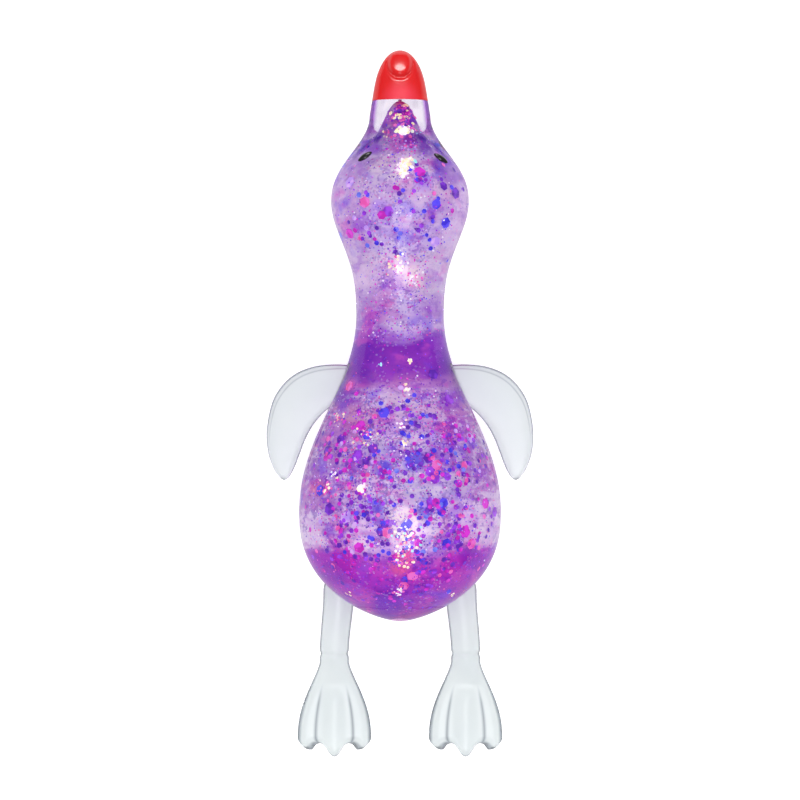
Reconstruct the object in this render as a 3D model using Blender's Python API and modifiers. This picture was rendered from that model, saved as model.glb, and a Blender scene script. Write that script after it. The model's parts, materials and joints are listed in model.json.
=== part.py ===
"""A long-necked squeeze bird: clear rubber skin, glitter gel inside, red beak tip, soft wings, legs and webbed feet.

The toy lies on its belly on the floor. +Z is up, +Y runs along the neck to the beak, and the origin is on the floor in
the middle of the flat belly. Every size is in metres.
"""

import math

import bmesh
import bpy
from mathutils import Matrix, Quaternion, Vector

MM = 0.001

# Clearances
GAP = 0.3 * MM  # between two pieces that touch on the real toy
FILL_GAP = 1.0 * MM  # between the skin and the gel, where the confetti floats

# The body
BODY_WIDTH = 51.0 * MM
BODY_HEIGHT = 42.6 * MM
BELLY_SINK = 0.8 * MM  # how far the round belly is pressed flat by its own weight
BELLY_Y = -3.0 * MM  # the widest section
TAIL_REACH = 27.6 * MM  # from the widest section to the end of the tail
TAIL_Z = 21.0 * MM
SKIN = 2.4 * MM
TAIL_WALL = 3.2 * MM

# The neck, the head and the bill
NECK_WIDTH = 22.2 * MM
NECK_HEIGHT = 21.6 * MM
NECK_Y = 46.5 * MM  # the narrowest section, where the neck bends
NECK_Z = 20.0 * MM
HEAD_WIDTH = 34.8 * MM
HEAD_HEIGHT = 29.0 * MM
HEAD_REACH = 28.8 * MM  # from the neck's narrowest section to the cheeks
HEAD_Z = 21.0 * MM
BROW_REACH = 21.7 * MM  # from the cheeks to the bill
BILL_WIDTH = 15.4 * MM
BILL_HEIGHT = 11.0 * MM
BILL_LENGTH = 16.8 * MM
BILL_TAPER = 5.2 * MM  # how much narrower the bill is at its tip
BILL_Z = 20.0 * MM
BEAK_LENGTH = 12.9 * MM  # the red part of the bill
WEDGE_WIDTH = 10.0 * MM  # the hollow's mouth behind the bill, and its narrow end inside the bill
WEDGE_HEIGHT = 11.0 * MM
WEDGE_LENGTH = 8.0 * MM
WEDGE_END = 1.6 * MM
WEDGE_Y_BACK = 4.5 * MM  # from the bill back to where the wedge begins

# The ball cut in the neck
BALL_OVER = 2.4 * MM  # how much larger its radius is than the neck's

# The wings
WING_ROOT_FRONT = 33.4 * MM
WING_ROOT_REAR = 19.0 * MM
WING_THICKNESS = 3.0 * MM
WING_EDGE = 1.1 * MM
WING_BEAD = 1.8 * MM
WING_STAND_OFF = 0.9 * MM  # from the skin to the axis of the bead
WING_SIDE_GAP = 2.4 * MM  # between the wing's inner edge and the body's side
# Round the lobe from the front of its root: y, and how far out from the body's side
WING_OUTLINE = [
    (33.9, 5.0),
    (33.3, 11.1),
    (31.3, 14.0),
    (27.3, 15.6),
    (22.0, 14.4),
    (16.2, 12.3),
    (10.4, 9.6),
    (6.8, 7.0),
    (5.0, 4.9),
]
WING_INNER_YS = (6.4, 10.0, 15.0)

# The legs and the feet
LEG_SPREAD = 33.4 * MM  # between the two legs' centre lines
LEG_Z = 15.0 * MM
HIP_RADIUS = 3.9 * MM
ANKLE_RADIUS = 3.6 * MM
LEG_LENGTH = 15.8 * MM
HIP_STAND_OFF = 2.1 * MM  # from the skin back to the hip's centre
FOOT_LENGTH = 25.3 * MM
FOOT_WIDTH = 18.7 * MM
FOOT_THICKNESS = 4.2 * MM
FOOT_DROP = 0.8 * MM  # how far the sole's middle lies below the ankle's
WEB_REACH = 22.4 * MM  # from the ankle to the web's edge
COLLAR_RADIUS = 4.6 * MM
# Each toe: its name, how far its tip is to the side, its reach from the ankle, its root and its tip radius
TOES = [
    ("middle", 0.0, FOOT_LENGTH, 2.7 * MM, 2.1 * MM),
    ("inner", -7.4 * MM, 23.6 * MM, 1.6 * MM, 1.9 * MM),
    ("outer", 7.4 * MM, 23.6 * MM, 1.6 * MM, 1.9 * MM),
]
HIP_SWING = (-10, 40)  # degrees that the skin is cleared for
ANKLE_SWING = (-12, 50)  # degrees that the collar is cleared for

# The eyes
EYE_Y = 86.7 * MM
EYE_X = 9.6 * MM
EYE_LENGTH = 3.4 * MM
EYE_WIDTH = 2.5 * MM
EYE_DEPTH = 1.7 * MM
EYE_TURN = 32.0  # degrees the long axis leans towards the beak

# The fill plug in the tail
PLUG_RADIUS = 2.0 * MM
PLUG_Z = 17.0 * MM

# The confetti
FLAKE_RADIUS = 1.4 * MM
FLAKE_THICKNESS = 0.15 * MM
BODY_FLAKES = 16
HEAD_FLAKES = 8

# How finely the lofts are cut
RING_POINTS = 34
HOLLOW_POINTS = 30
STATION_STEP = 3.6 * MM
POINTED = 0.1 * MM  # a section narrower than this closes to a point

COLOURS = {
    "clear_skin": ((0.86, 0.80, 0.94, 1.0), 0.15),
    "clear_limb": ((0.90, 0.92, 0.95, 1.0), 0.2),
    "red_beak": ((0.80, 0.03, 0.06, 1.0), 0.2),
    "black_eye": ((0.01, 0.01, 0.01, 1.0), 0.1),
    "violet_gel": ((0.36, 0.08, 0.62, 1.0), 0.3),
    "confetti": ((0.25, 0.12, 0.75, 1.0), 0.25),
}


# ---------------------------------------------------------------- outer shape and hollow


def mix(a, b, share):
    """Each value of a and b, mixed."""
    return tuple(x + (y - x) * share for x, y in zip(a, b))


def ease(share, power):
    """A smooth step from 0 to 1, held back by a power above 1."""
    return math.sin(0.5 * math.pi * min(max(share, 0.0), 1.0) ** power) ** 2


CHEEK_Y = NECK_Y + HEAD_REACH
BILL_Y = CHEEK_Y + BROW_REACH
BILL_TIP_Y = BILL_Y + BILL_LENGTH
BEAK_Y = BILL_TIP_Y - BEAK_LENGTH
TAIL_Y = BELLY_Y - TAIL_REACH
BODY_SECTION = (BODY_WIDTH / 2, BODY_HEIGHT / 2, BODY_HEIGHT / 2 - BELLY_SINK)
NECK_SECTION = (NECK_WIDTH / 2, NECK_HEIGHT / 2, NECK_Z)
HEAD_SECTION = (HEAD_WIDTH / 2, HEAD_HEIGHT / 2, HEAD_Z)
BILL_SECTION = (BILL_WIDTH / 2, BILL_HEIGHT / 2, BILL_Z)
WEDGE_SECTION = (WEDGE_WIDTH / 2, WEDGE_HEIGHT / 2, HEAD_Z)
WEDGE_Y = BILL_Y - WEDGE_Y_BACK
WEDGE_TIP_Y = WEDGE_Y + WEDGE_LENGTH


def inset(section, wall):
    """A section made smaller all round by a wall."""
    return (section[0] - wall, section[1] - wall, section[2])


def rump(y, section, end_y, end_z):
    """The round end of the body between its widest section and end_y."""
    share = min(max((BELLY_Y - y) / (BELLY_Y - end_y), 0.0), 1.0)
    swell = max(1.0 - share**2, 0.0) ** 0.6
    return (section[0] * swell, section[1] * swell, section[2] + (end_z - section[2]) * share**2)


def trunk_to_cheek(y, wall):
    """The section at y between the widest section of the body and the cheeks."""
    body, neck, head = (inset(section, wall) for section in (BODY_SECTION, NECK_SECTION, HEAD_SECTION))
    if y < NECK_Y:
        return mix(body, neck, ease((y - BELLY_Y) / (NECK_Y - BELLY_Y), 1.05))
    return mix(neck, head, ease((y - NECK_Y) / HEAD_REACH, 1.4))


def outer_section(y):
    """Half width, half height and centre height of the toy's outside at y."""
    if y < BELLY_Y:
        return rump(y, BODY_SECTION, TAIL_Y, TAIL_Z)
    if y < CHEEK_Y:
        return trunk_to_cheek(y, 0.0)
    if y < BILL_Y:
        return mix(HEAD_SECTION, BILL_SECTION, ease((y - CHEEK_Y) / BROW_REACH, 1.15))
    share = min((y - BILL_Y) / BILL_LENGTH, 1.0)
    rounding = math.sqrt(max(1.0 - share**6, 0.0))
    half_width = (BILL_SECTION[0] - BILL_TAPER / 2 * share) * rounding
    half_height = BILL_SECTION[1] * (1.0 - 0.45 * share) * rounding
    return (half_width, half_height, BILL_Z - 0.1 * BILL_HEIGHT * share)


def hollow_section(y, extra=0.0):
    """The same for the hollow that the gel fills, made smaller all round by extra."""
    wall = SKIN + extra
    if y < BELLY_Y:
        return rump(y, inset(BODY_SECTION, wall), TAIL_Y + TAIL_WALL + 1.5 * extra, TAIL_Z)
    if y < CHEEK_Y:
        return trunk_to_cheek(y, wall)
    wedge = inset(WEDGE_SECTION, extra)
    if y < WEDGE_Y:
        return mix(inset(HEAD_SECTION, wall), wedge, ease((y - CHEEK_Y) / (WEDGE_Y - CHEEK_Y), 1.15))
    share = (y - WEDGE_Y) / (WEDGE_LENGTH - 3 * extra)
    end = (WEDGE_END / 2, WEDGE_END, BILL_Z)
    return mix(wedge, end, min(share, 1.0))


def on_section(section, angle, y):
    """The point at an angle from straight up, turning towards +X."""
    half_width, half_height, centre_z = section
    return Vector((half_width * math.sin(angle), y, centre_z + half_height * math.cos(angle)))


def surface_frame(section_at, y, angle):
    """A point of a loft and its outward normal, from two short steps along it."""
    step = 0.05 * MM
    point = on_section(section_at(y), angle, y)
    along = on_section(section_at(y + step), angle, y + step) - point
    around = on_section(section_at(y), angle + 0.001, y) - point
    return point, around.cross(along).normalized() * -1.0


def rear_surface_y(x, z):
    """The y at which a line along Y at x and z enters the rump."""
    low, high = TAIL_Y, BELLY_Y
    for _ in range(40):
        middle = (low + high) / 2
        half_width, half_height, centre_z = outer_section(middle)
        inside = half_width > 1e-6 and (x / half_width) ** 2 + ((z - centre_z) / half_height) ** 2 < 1.0
        low, high = (low, middle) if inside else (middle, high)
    return high


# ---------------------------------------------------------------- small modelling helpers


def collection(name):
    made = bpy.data.collections.new(name)
    bpy.context.scene.collection.children.link(made)
    return made


def clear_scene():
    for obj in list(bpy.data.objects):
        bpy.data.objects.remove(obj)


def material(name):
    """The Principled material of one kind of piece."""
    if name in bpy.data.materials:
        return bpy.data.materials[name]
    colour, roughness = COLOURS[name]
    made = bpy.data.materials.new(name)
    made.use_nodes = True
    shader = made.node_tree.nodes["Principled BSDF"]
    shader.inputs["Base Color"].default_value = colour
    shader.inputs["Roughness"].default_value = roughness
    shader.inputs["Metallic"].default_value = 0.0
    made.diffuse_color = colour
    return made


def add_object(name, mesh, group, material_name=None, smooth=True):
    """Links a mesh as a named object, smooth shaded and coloured."""
    obj = bpy.data.objects.new(name, mesh)
    group.objects.link(obj)
    if material_name:
        mesh.materials.append(material(material_name))
    for polygon in mesh.polygons:
        polygon.use_smooth = smooth
    return obj


def from_bmesh(name, shape, group, material_name=None, smooth=True):
    bmesh.ops.recalc_face_normals(shape, faces=shape.faces)
    mesh = bpy.data.meshes.new(name)
    shape.to_mesh(mesh)
    shape.free()
    return add_object(name, mesh, group, material_name, smooth)


def move_origin(obj, place):
    """Puts the object's origin at a place and leaves its shape where it is."""
    obj.data.transform(Matrix.Translation(-place))
    obj.location = place


def cut(obj, cutter, operation="DIFFERENCE"):
    modifier = obj.modifiers.new(operation.lower() + "_" + cutter.name, "BOOLEAN")
    modifier.operation = operation
    modifier.solver = "EXACT"
    modifier.object = cutter


def as_cutter(obj):
    obj.hide_render = True
    obj.display_type = "WIRE"
    return obj


def loft(name, section_at, start, end, points, group, material_name=None, floor=None):
    """A skin over the sections from start to end, closer together where they change fast, with closed ends."""
    shape = bmesh.new()
    count = max(4, round((end - start) / STATION_STEP))
    ys = [start + (end - start) * step / count for step in range(count + 1)]
    near_end = (0.05, 0.2, 0.5)
    reach = ys[1] - ys[0]
    if section_at(end)[0] < POINTED:
        ys[-1:-1] = [end - reach * share for share in reversed(near_end)]
    if section_at(start)[0] < POINTED:
        ys[1:1] = [start + reach * share for share in near_end]
    rings = []
    for y in ys:
        section = section_at(y)
        ring = []
        for step in range(points):
            place = on_section(section, math.tau * step / points, y)
            if floor is not None:
                place.z = max(place.z, floor)
            ring.append(place)
        if section[0] < POINTED:
            ring = ring[:1]
        rings.append([shape.verts.new(place) for place in ring])
    for near, far in zip(rings, rings[1:]):
        for step in range(points):
            after = (step + 1) % points
            if len(near) == 1:
                shape.faces.new((near[0], far[step], far[after]))
            elif len(far) == 1:
                shape.faces.new((near[step], near[after], far[0]))
            else:
                shape.faces.new((near[step], near[after], far[after], far[step]))
    for ring in (rings[0], rings[-1]):
        if len(ring) > 1:
            shape.faces.new(ring)
    return from_bmesh(name, shape, group, material_name)


def sphere(name, radius, centre, group, material_name=None, segments=22):
    shape = bmesh.new()
    bmesh.ops.create_uvsphere(shape, u_segments=segments, v_segments=segments // 2, radius=radius)
    bmesh.ops.translate(shape, verts=shape.verts, vec=centre)
    return from_bmesh(name, shape, group, material_name)


def rod(name, radius, start, end, group, segments=32):
    """A cylinder between two points."""
    shape = bmesh.new()
    along = end - start
    bmesh.ops.create_cone(
        shape, cap_ends=True, segments=segments, radius1=radius, radius2=radius, depth=along.length
    )
    turn = Vector((0, 0, 1)).rotation_difference(along).to_matrix().to_4x4()
    bmesh.ops.transform(shape, matrix=Matrix.Translation((start + end) / 2) @ turn, verts=shape.verts)
    return from_bmesh(name, shape, group)


def turned(name, profile, place, group, material_name=None, steps=32):
    """A profile of (radius, distance along +Y) turned about an axis along Y through a place."""
    mesh = bpy.data.meshes.new(name)
    points = [(radius, along, 0.0) for radius, along in profile]
    mesh.from_pydata(points, [(step, step + 1) for step in range(len(points) - 1)], [])
    obj = add_object(name, mesh, group, material_name)
    obj.location = place
    screw = obj.modifiers.new("turn", "SCREW")
    screw.axis = "Y"
    screw.steps = steps
    screw.render_steps = steps
    screw.use_merge_vertices = True
    screw.merge_threshold = 0.00001
    screw.use_smooth_shade = True
    return obj


def arc(radius, start, end, steps, along=0.0):
    """Profile points of an arc about (0, along), angles in degrees from the axis's far end."""
    angles = [math.radians(start + (end - start) * step / steps) for step in range(steps + 1)]
    return [(radius * math.sin(angle), along + radius * math.cos(angle)) for angle in angles]


# ---------------------------------------------------------------- neck


BALL_RADIUS = max(NECK_WIDTH, NECK_HEIGHT) / 2 + BALL_OVER
NECK_PIVOT = Vector((0.0, NECK_Y, NECK_Z))
FAR = 90 * MM  # wide enough to take in every section that a neck cutter meets


def neck_cutters(group):
    """What the body loses above its ball end, and what the head loses below its socket."""
    ball = BALL_RADIUS - GAP / 2
    lip = 1.0 * MM
    above = [(0.0, FAR), (FAR, FAR), (FAR, lip)]
    above += arc(ball, 90 - math.degrees(math.asin(lip / ball)), 0, 14)
    over_body = as_cutter(turned("cut_over_body", above, NECK_PIVOT, group, steps=36))
    socket = BALL_RADIUS + GAP / 2
    below = arc(socket, 0, 90 - math.degrees(math.asin(lip / socket)), 14)
    below += [(FAR, lip), (FAR, -FAR), (0.0, -FAR)]
    under_head = as_cutter(turned("cut_under_head", below, NECK_PIVOT, group, steps=36))
    return over_body, under_head


def body_and_head(parts, cutters):
    """The two halves of the skin and of the gel, parted by a ball in the neck."""
    over_body, under_head = neck_cutters(cutters)
    overlap = BALL_RADIUS + 4 * MM
    body_end = NECK_Y + overlap
    head_start = NECK_Y - 2 * MM

    body_skin = loft("body_skin", outer_section, TAIL_Y, body_end, RING_POINTS, parts, "clear_skin", floor=0.0)
    hollow_tail = TAIL_Y + TAIL_WALL
    body_hollow = loft("cut_body_hollow", hollow_section, hollow_tail, body_end + MM, HOLLOW_POINTS, cutters)
    cut(body_skin, as_cutter(body_hollow))
    cut(body_skin, over_body)

    head_skin = loft(
        "head_skin", outer_section, head_start, BEAK_Y - GAP / 2, RING_POINTS, parts, "clear_skin"
    )
    head_hollow = loft(
        "cut_head_hollow", hollow_section, head_start - MM, WEDGE_TIP_Y, HOLLOW_POINTS, cutters
    )
    cut(head_skin, as_cutter(head_hollow))
    cut(head_skin, under_head)

    def gel_section(y):
        return hollow_section(y, FILL_GAP)

    gel_tail = hollow_tail + 1.5 * FILL_GAP
    body_gel = loft("body_gel", gel_section, gel_tail, body_end, HOLLOW_POINTS, parts, "violet_gel")
    cut(body_gel, over_body)
    gel_tip = WEDGE_TIP_Y - 3 * FILL_GAP
    head_gel = loft("head_gel", gel_section, head_start, gel_tip, HOLLOW_POINTS, parts, "violet_gel")
    cut(head_gel, under_head)
    for obj in (head_skin, head_gel):
        move_origin(obj, NECK_PIVOT)
    return body_skin, head_skin


# ---------------------------------------------------------------- head trim


def beak(parts):
    """The red end of the bill, face to face with the clear root."""
    return loft("beak_tip", outer_section, BEAK_Y + GAP / 2, BILL_TIP_Y, RING_POINTS, parts, "red_beak")


def eye_frame(side):
    """Where an eye sits and how it is turned: its length leans to the beak, its depth is along the normal."""
    half_width = outer_section(EYE_Y)[0]
    angle = side * math.asin(min(EYE_X / half_width, 0.97))
    place, normal = surface_frame(outer_section, EYE_Y, angle)
    along = Vector((side * math.cos(math.radians(EYE_TURN)), -math.sin(math.radians(EYE_TURN)), 0))
    along = (along - normal * along.dot(normal)).normalized()
    across = normal.cross(along)
    turn = Matrix((along, across, normal)).transposed().to_4x4()
    return Matrix.Translation(place) @ turn


def eyes(parts, cutters, head_skin):
    for side, name in ((-1, "left_eye"), (1, "right_eye")):
        frame = eye_frame(side)
        for label, extra, group, colour in ((name, 0.0, parts, "black_eye"), ("cut_" + name, GAP, cutters, None)):
            shape = bmesh.new()
            bmesh.ops.create_uvsphere(shape, u_segments=16, v_segments=10, radius=1.0)
            half = Vector((EYE_LENGTH / 2 + extra, EYE_WIDTH / 2 + extra, EYE_DEPTH / 2 + extra))
            bmesh.ops.transform(shape, matrix=frame @ Matrix.Diagonal((*half, 1.0)), verts=shape.verts)
            made = from_bmesh(label, shape, group, colour)
            if extra:
                cut(head_skin, as_cutter(made))


# ---------------------------------------------------------------- wings


def smooth_outline(points, per_span):
    """A closed Catmull-Rom curve through points."""
    count = len(points)
    made = []
    for index in range(count):
        before, here, there, after = (points[(index + step) % count] for step in (-1, 0, 1, 2))
        for step in range(per_span):
            t = step / per_span
            made.append(
                0.5
                * (
                    2 * here
                    + (there - before) * t
                    + (2 * before - 5 * here + 4 * there - after) * t**2
                    + (3 * here - before - 3 * there + after) * t**3
                )
            )
    return made


def plate(name, outline, z, thickness, edge, group, material_name=None):
    """A flat outline given a thickness and rounded rims."""
    shape = bmesh.new()
    face = shape.faces.new([shape.verts.new((point.x, point.y, z - thickness / 2)) for point in outline])
    top = bmesh.ops.extrude_face_region(shape, geom=[face])["geom"]
    moved = [item for item in top if isinstance(item, bmesh.types.BMVert)]
    bmesh.ops.translate(shape, verts=moved, vec=(0, 0, thickness))
    rim = [item for item in shape.edges if abs(item.verts[0].co.z - item.verts[1].co.z) < 1e-9]
    bmesh.ops.bevel(shape, geom=rim, offset=edge, segments=3, profile=0.5, affect="EDGES")
    return from_bmesh(name, shape, group, material_name)


def wing_axis(side):
    """The two ends of the line on which a wing hinges, just outside the body's side."""
    ends = []
    for y in (WING_ROOT_FRONT, WING_ROOT_REAR):
        half_width, _, centre_z = outer_section(y)
        ends.append(Vector((side * (half_width + WING_STAND_OFF), y, centre_z)))
    level = (ends[0].z + ends[1].z) / 2
    for end in ends:
        end.z = level
    return ends


def wings(parts, cutters, body_skin):
    for side, name in ((-1, "left_wing"), (1, "right_wing")):
        front, rear = wing_axis(side)
        outline = [Vector((front.x, front.y))]
        for y, out in WING_OUTLINE:
            outline.append(Vector((side * (outer_section(y * MM)[0] + out * MM), y * MM)))
        for y in WING_INNER_YS:
            outline.append(Vector((side * (outer_section(y * MM)[0] + WING_SIDE_GAP), y * MM)))
        outline.append(Vector((rear.x + side * 0.4 * MM, rear.y)))
        points = smooth_outline(outline, 2)
        points = [p for p in points if clear_of_body(p, front, rear, side)]
        wing = plate(name, points, front.z, WING_THICKNESS, WING_EDGE, parts, "clear_limb")
        bead = as_cutter(rod("bead_" + name, WING_BEAD, front, rear, cutters, segments=20))
        cut(wing, bead, "UNION")
        move_origin(wing, (front + rear) / 2)
        along = (rear - front).normalized() * 2 * MM
        groove = rod("groove_" + name, WING_BEAD + GAP, front - along, rear + along, cutters, segments=20)
        cut(body_skin, as_cutter(groove))


def clear_of_body(point, front, rear, side):
    """Whether an outline point is outside the hinge line and the body's side."""
    along = (rear - front).to_2d().normalized()
    out = Vector((-along.y, along.x)) * side
    beyond = (point - front.to_2d()).dot(out)
    return beyond > -0.01 * MM and side * point.x > outer_section(point.y)[0] + 0.2 * MM


# ---------------------------------------------------------------- legs and feet


def hip_place(side):
    x = side * LEG_SPREAD / 2
    return Vector((x, rear_surface_y(x, LEG_Z) - HIP_STAND_OFF, LEG_Z))


def leg_profile(extra=0.0):
    """From the hip's round end to the ankle's ball, about an axis along Y with the hip at 0."""
    hip = arc(HIP_RADIUS + extra, 0, 90, 6)
    return hip + arc(ANKLE_RADIUS + extra, 90, 180, 6, along=-LEG_LENGTH)


def foot_section(along):
    """Half width, half height and height of the web's middle, at a distance from the ankle towards the toes."""
    share = min(max(along / WEB_REACH, 0.0), 1.0)
    spread = mix((ANKLE_RADIUS,), (FOOT_WIDTH / 2,), ease(share, 0.8) ** 0.85)[0]
    rounding = (1.0 - share**10) ** 0.5
    half_height = FOOT_THICKNESS / 2 * (1.15 - 0.3 * share)
    return (spread * (0.35 + 0.65 * rounding), half_height * rounding, -FOOT_DROP * ease(share, 0.7))


def foot_web(name, ankle, group, material_name):
    """The webbed sole, lofted from the ankle to the edge between the toes."""

    def section_at(y):
        half_width, half_height, level = foot_section(ankle.y - y)
        return (half_width, half_height, ankle.z + level)

    web = loft(name, section_at, ankle.y - 0.985 * WEB_REACH, ankle.y, 20, group, material_name)
    web.data.transform(Matrix.Translation((ankle.x, 0.0, 0.0)))
    return web


def toe(name, start, end, start_radius, end_radius, group):
    """A rod with round ends and a taper."""
    reach = (end - start).length
    profile = arc(end_radius, 0, 90, 4, along=reach) + arc(start_radius, 90, 180, 3)
    made = turned(name, profile, start, group, steps=14)
    made.rotation_mode = "QUATERNION"
    made.rotation_quaternion = Vector((0, 1, 0)).rotation_difference(end - start)
    return as_cutter(made)


def swing_room(name, pivot, radius, reach, swing, group):
    """The room that a rod takes as it turns about X at its end. It runs along Y for reach, and swing is in degrees."""
    shape = bmesh.new()
    for degrees in (*swing, sum(swing) / 2):
        turn = Matrix.Rotation(math.radians(degrees), 3, "X")
        for along in (0.0, reach):
            for step in range(24):
                around = math.tau * step / 24
                rim = Vector((radius * math.cos(around), along, radius * math.sin(around)))
                shape.verts.new(pivot + turn @ rim)
    hull = bmesh.ops.convex_hull(shape, input=shape.verts)
    inside = {item for item in hull["geom_interior"] if isinstance(item, bmesh.types.BMVert)}
    bmesh.ops.delete(shape, geom=list(inside), context="VERTS")
    return from_bmesh(name, shape, group)


def feet_and_legs(parts, cutters, body_skin):
    for side, word in ((-1, "left"), (1, "right")):
        hip = hip_place(side)
        ankle = hip + Vector((0.0, -LEG_LENGTH, 0.0))
        turned(word + "_leg", leg_profile(), hip, parts, "clear_limb", steps=22)
        cut(body_skin, as_cutter(sphere("socket_" + word + "_hip", HIP_RADIUS + GAP, hip, cutters)))
        # A leg points along -Y, so it rises as it turns the other way about X.
        rising = [-degrees for degrees in HIP_SWING]
        room = swing_room("sweep_" + word + "_leg", hip, HIP_RADIUS + GAP, -LEG_LENGTH, rising, cutters)
        cut(body_skin, as_cutter(room))

        name = word + "_foot"
        foot = foot_web(name, ankle, parts, "clear_limb")
        cut(foot, as_cutter(sphere("collar_" + name, COLLAR_RADIUS, ankle, cutters)), "UNION")
        for toe_word, spread, reach, root, tip in TOES:
            start = ankle + Vector((0.3 * spread, -0.42 * FOOT_LENGTH, -0.6 * FOOT_DROP))
            end = ankle + Vector((spread, tip - reach, -FOOT_DROP))
            cut(foot, toe(f"toe_{toe_word}_{name}", start, end, root, tip, cutters), "UNION")
        cut(foot, as_cutter(sphere("socket_" + name, ANKLE_RADIUS + GAP, ankle, cutters)))
        # In the foot's own frame the leg rises by the angle that the toes rise by.
        ankle_room = ANKLE_RADIUS + 1.3 * GAP
        room = swing_room("sweep_" + name, ankle, ankle_room, 2.4 * COLLAR_RADIUS, ANKLE_SWING, cutters)
        cut(foot, as_cutter(room))
        move_origin(foot, ankle)


# ---------------------------------------------------------------- fill plug and confetti


def fill_plug(parts, cutters, body_skin):
    """A short plug through the tail's wall, from just under its outside to the hollow."""
    outside = rear_surface_y(0.0, PLUG_Z)
    inner = TAIL_Y + TAIL_WALL + 1.0 * MM
    start = Vector((0.0, outside + 0.5 * MM, PLUG_Z))
    end = Vector((0.0, inner, PLUG_Z))
    plug = rod("fill_plug", PLUG_RADIUS, start, end, parts, segments=24)
    plug.data.materials.append(material("clear_limb"))
    beyond = Vector((0.0, 6 * MM, 0.0))
    hole = rod("cut_plug_hole", PLUG_RADIUS + GAP, start - beyond, end + beyond * 0.2, cutters, segments=24)
    cut(body_skin, as_cutter(hole))


def confetti(parts):
    """Large flakes, floating half way between the skin and the gel."""

    def between(y):
        return hollow_section(y, FILL_GAP / 2)

    golden = math.pi * (3.0 - math.sqrt(5.0))
    spans = (
        ("body_flake", BODY_FLAKES, BELLY_Y - 0.55 * TAIL_REACH, NECK_Y - BALL_RADIUS),
        ("head_flake", HEAD_FLAKES, NECK_Y + BALL_RADIUS + 4 * MM, CHEEK_Y + 0.35 * BROW_REACH),
    )
    for label, count, start, end in spans:
        for index in range(count):
            y = start + (end - start) * (index + 0.5) / count
            swing = math.sin(golden * (index + 1)) * 1.15
            place, normal = surface_frame(between, y, swing)
            shape = bmesh.new()
            bmesh.ops.create_cone(
                shape,
                cap_ends=True,
                segments=6,
                radius1=FLAKE_RADIUS,
                radius2=FLAKE_RADIUS,
                depth=FLAKE_THICKNESS,
            )
            turn = Vector((0, 0, 1)).rotation_difference(normal) @ Quaternion((0, 0, 1), golden * index)
            matrix = Matrix.Translation(place) @ turn.to_matrix().to_4x4()
            bmesh.ops.transform(shape, matrix=matrix, verts=shape.verts)
            from_bmesh(f"{label}_{index + 1:02d}", shape, parts, "confetti", smooth=False)


def main():
    clear_scene()
    parts = collection("squeeze_bird")
    cutters = collection("cutters")
    body_skin, head_skin = body_and_head(parts, cutters)
    beak(parts)
    eyes(parts, cutters, head_skin)
    wings(parts, cutters, body_skin)
    feet_and_legs(parts, cutters, body_skin)
    fill_plug(parts, cutters, body_skin)
    confetti(parts)


main()
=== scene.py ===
# %% [markdown]
# # A clear rubber squeeze bird full of violet glitter gel
#
# The toy is a long-necked bird moulded in clear, stretchy rubber. It is filled with a violet gel in which
# glitter and confetti float, it has a red beak, and its wings, legs and webbed feet are solid clear rubber.
# It lies on its belly and is seen from straight above.
#
# The imported model is the fixed frame. Every piece below is built in place around it, in metres, and the
# beak and the eyes ride on its head.

import json
import math
import random

import bpy
from mathutils import Matrix, Vector


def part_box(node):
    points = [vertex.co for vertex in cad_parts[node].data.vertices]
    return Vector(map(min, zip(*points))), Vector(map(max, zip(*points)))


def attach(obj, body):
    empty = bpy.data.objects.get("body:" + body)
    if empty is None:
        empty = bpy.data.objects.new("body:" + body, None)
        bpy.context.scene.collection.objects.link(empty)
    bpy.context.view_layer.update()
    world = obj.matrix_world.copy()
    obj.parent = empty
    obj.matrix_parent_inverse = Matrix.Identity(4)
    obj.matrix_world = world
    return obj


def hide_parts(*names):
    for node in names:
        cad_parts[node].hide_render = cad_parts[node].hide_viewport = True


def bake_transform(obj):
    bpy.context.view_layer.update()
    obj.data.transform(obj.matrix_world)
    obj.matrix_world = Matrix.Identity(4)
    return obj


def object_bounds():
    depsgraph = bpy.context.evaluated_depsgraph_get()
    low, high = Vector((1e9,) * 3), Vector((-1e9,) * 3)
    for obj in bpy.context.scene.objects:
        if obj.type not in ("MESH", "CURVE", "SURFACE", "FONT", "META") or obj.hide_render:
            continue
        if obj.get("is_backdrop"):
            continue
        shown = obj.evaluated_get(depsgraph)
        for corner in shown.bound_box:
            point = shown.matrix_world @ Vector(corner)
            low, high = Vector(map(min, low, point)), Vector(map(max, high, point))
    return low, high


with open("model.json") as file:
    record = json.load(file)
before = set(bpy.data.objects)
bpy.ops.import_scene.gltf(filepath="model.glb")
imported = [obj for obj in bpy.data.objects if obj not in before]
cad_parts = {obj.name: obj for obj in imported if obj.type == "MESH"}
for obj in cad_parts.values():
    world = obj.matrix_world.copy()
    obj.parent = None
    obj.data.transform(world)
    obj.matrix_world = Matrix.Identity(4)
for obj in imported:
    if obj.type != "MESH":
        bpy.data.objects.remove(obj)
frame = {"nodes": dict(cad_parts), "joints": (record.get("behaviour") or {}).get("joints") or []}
cad_low, cad_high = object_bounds()
MM = 0.001
JOINTS = {joint["name"]: joint for joint in frame["joints"]}


# %% [markdown]
# ## The outline of the bird
#
# Everything follows one set of sections along the bird: half width, half height and the height of the
# middle. The egg-shaped body, the neck, the head and the bill are four such sections, and smooth steps mix
# them. The hollow that the gel fills follows the same sections, less the wall of the skin, and runs out in
# a wedge inside the bill.

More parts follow.
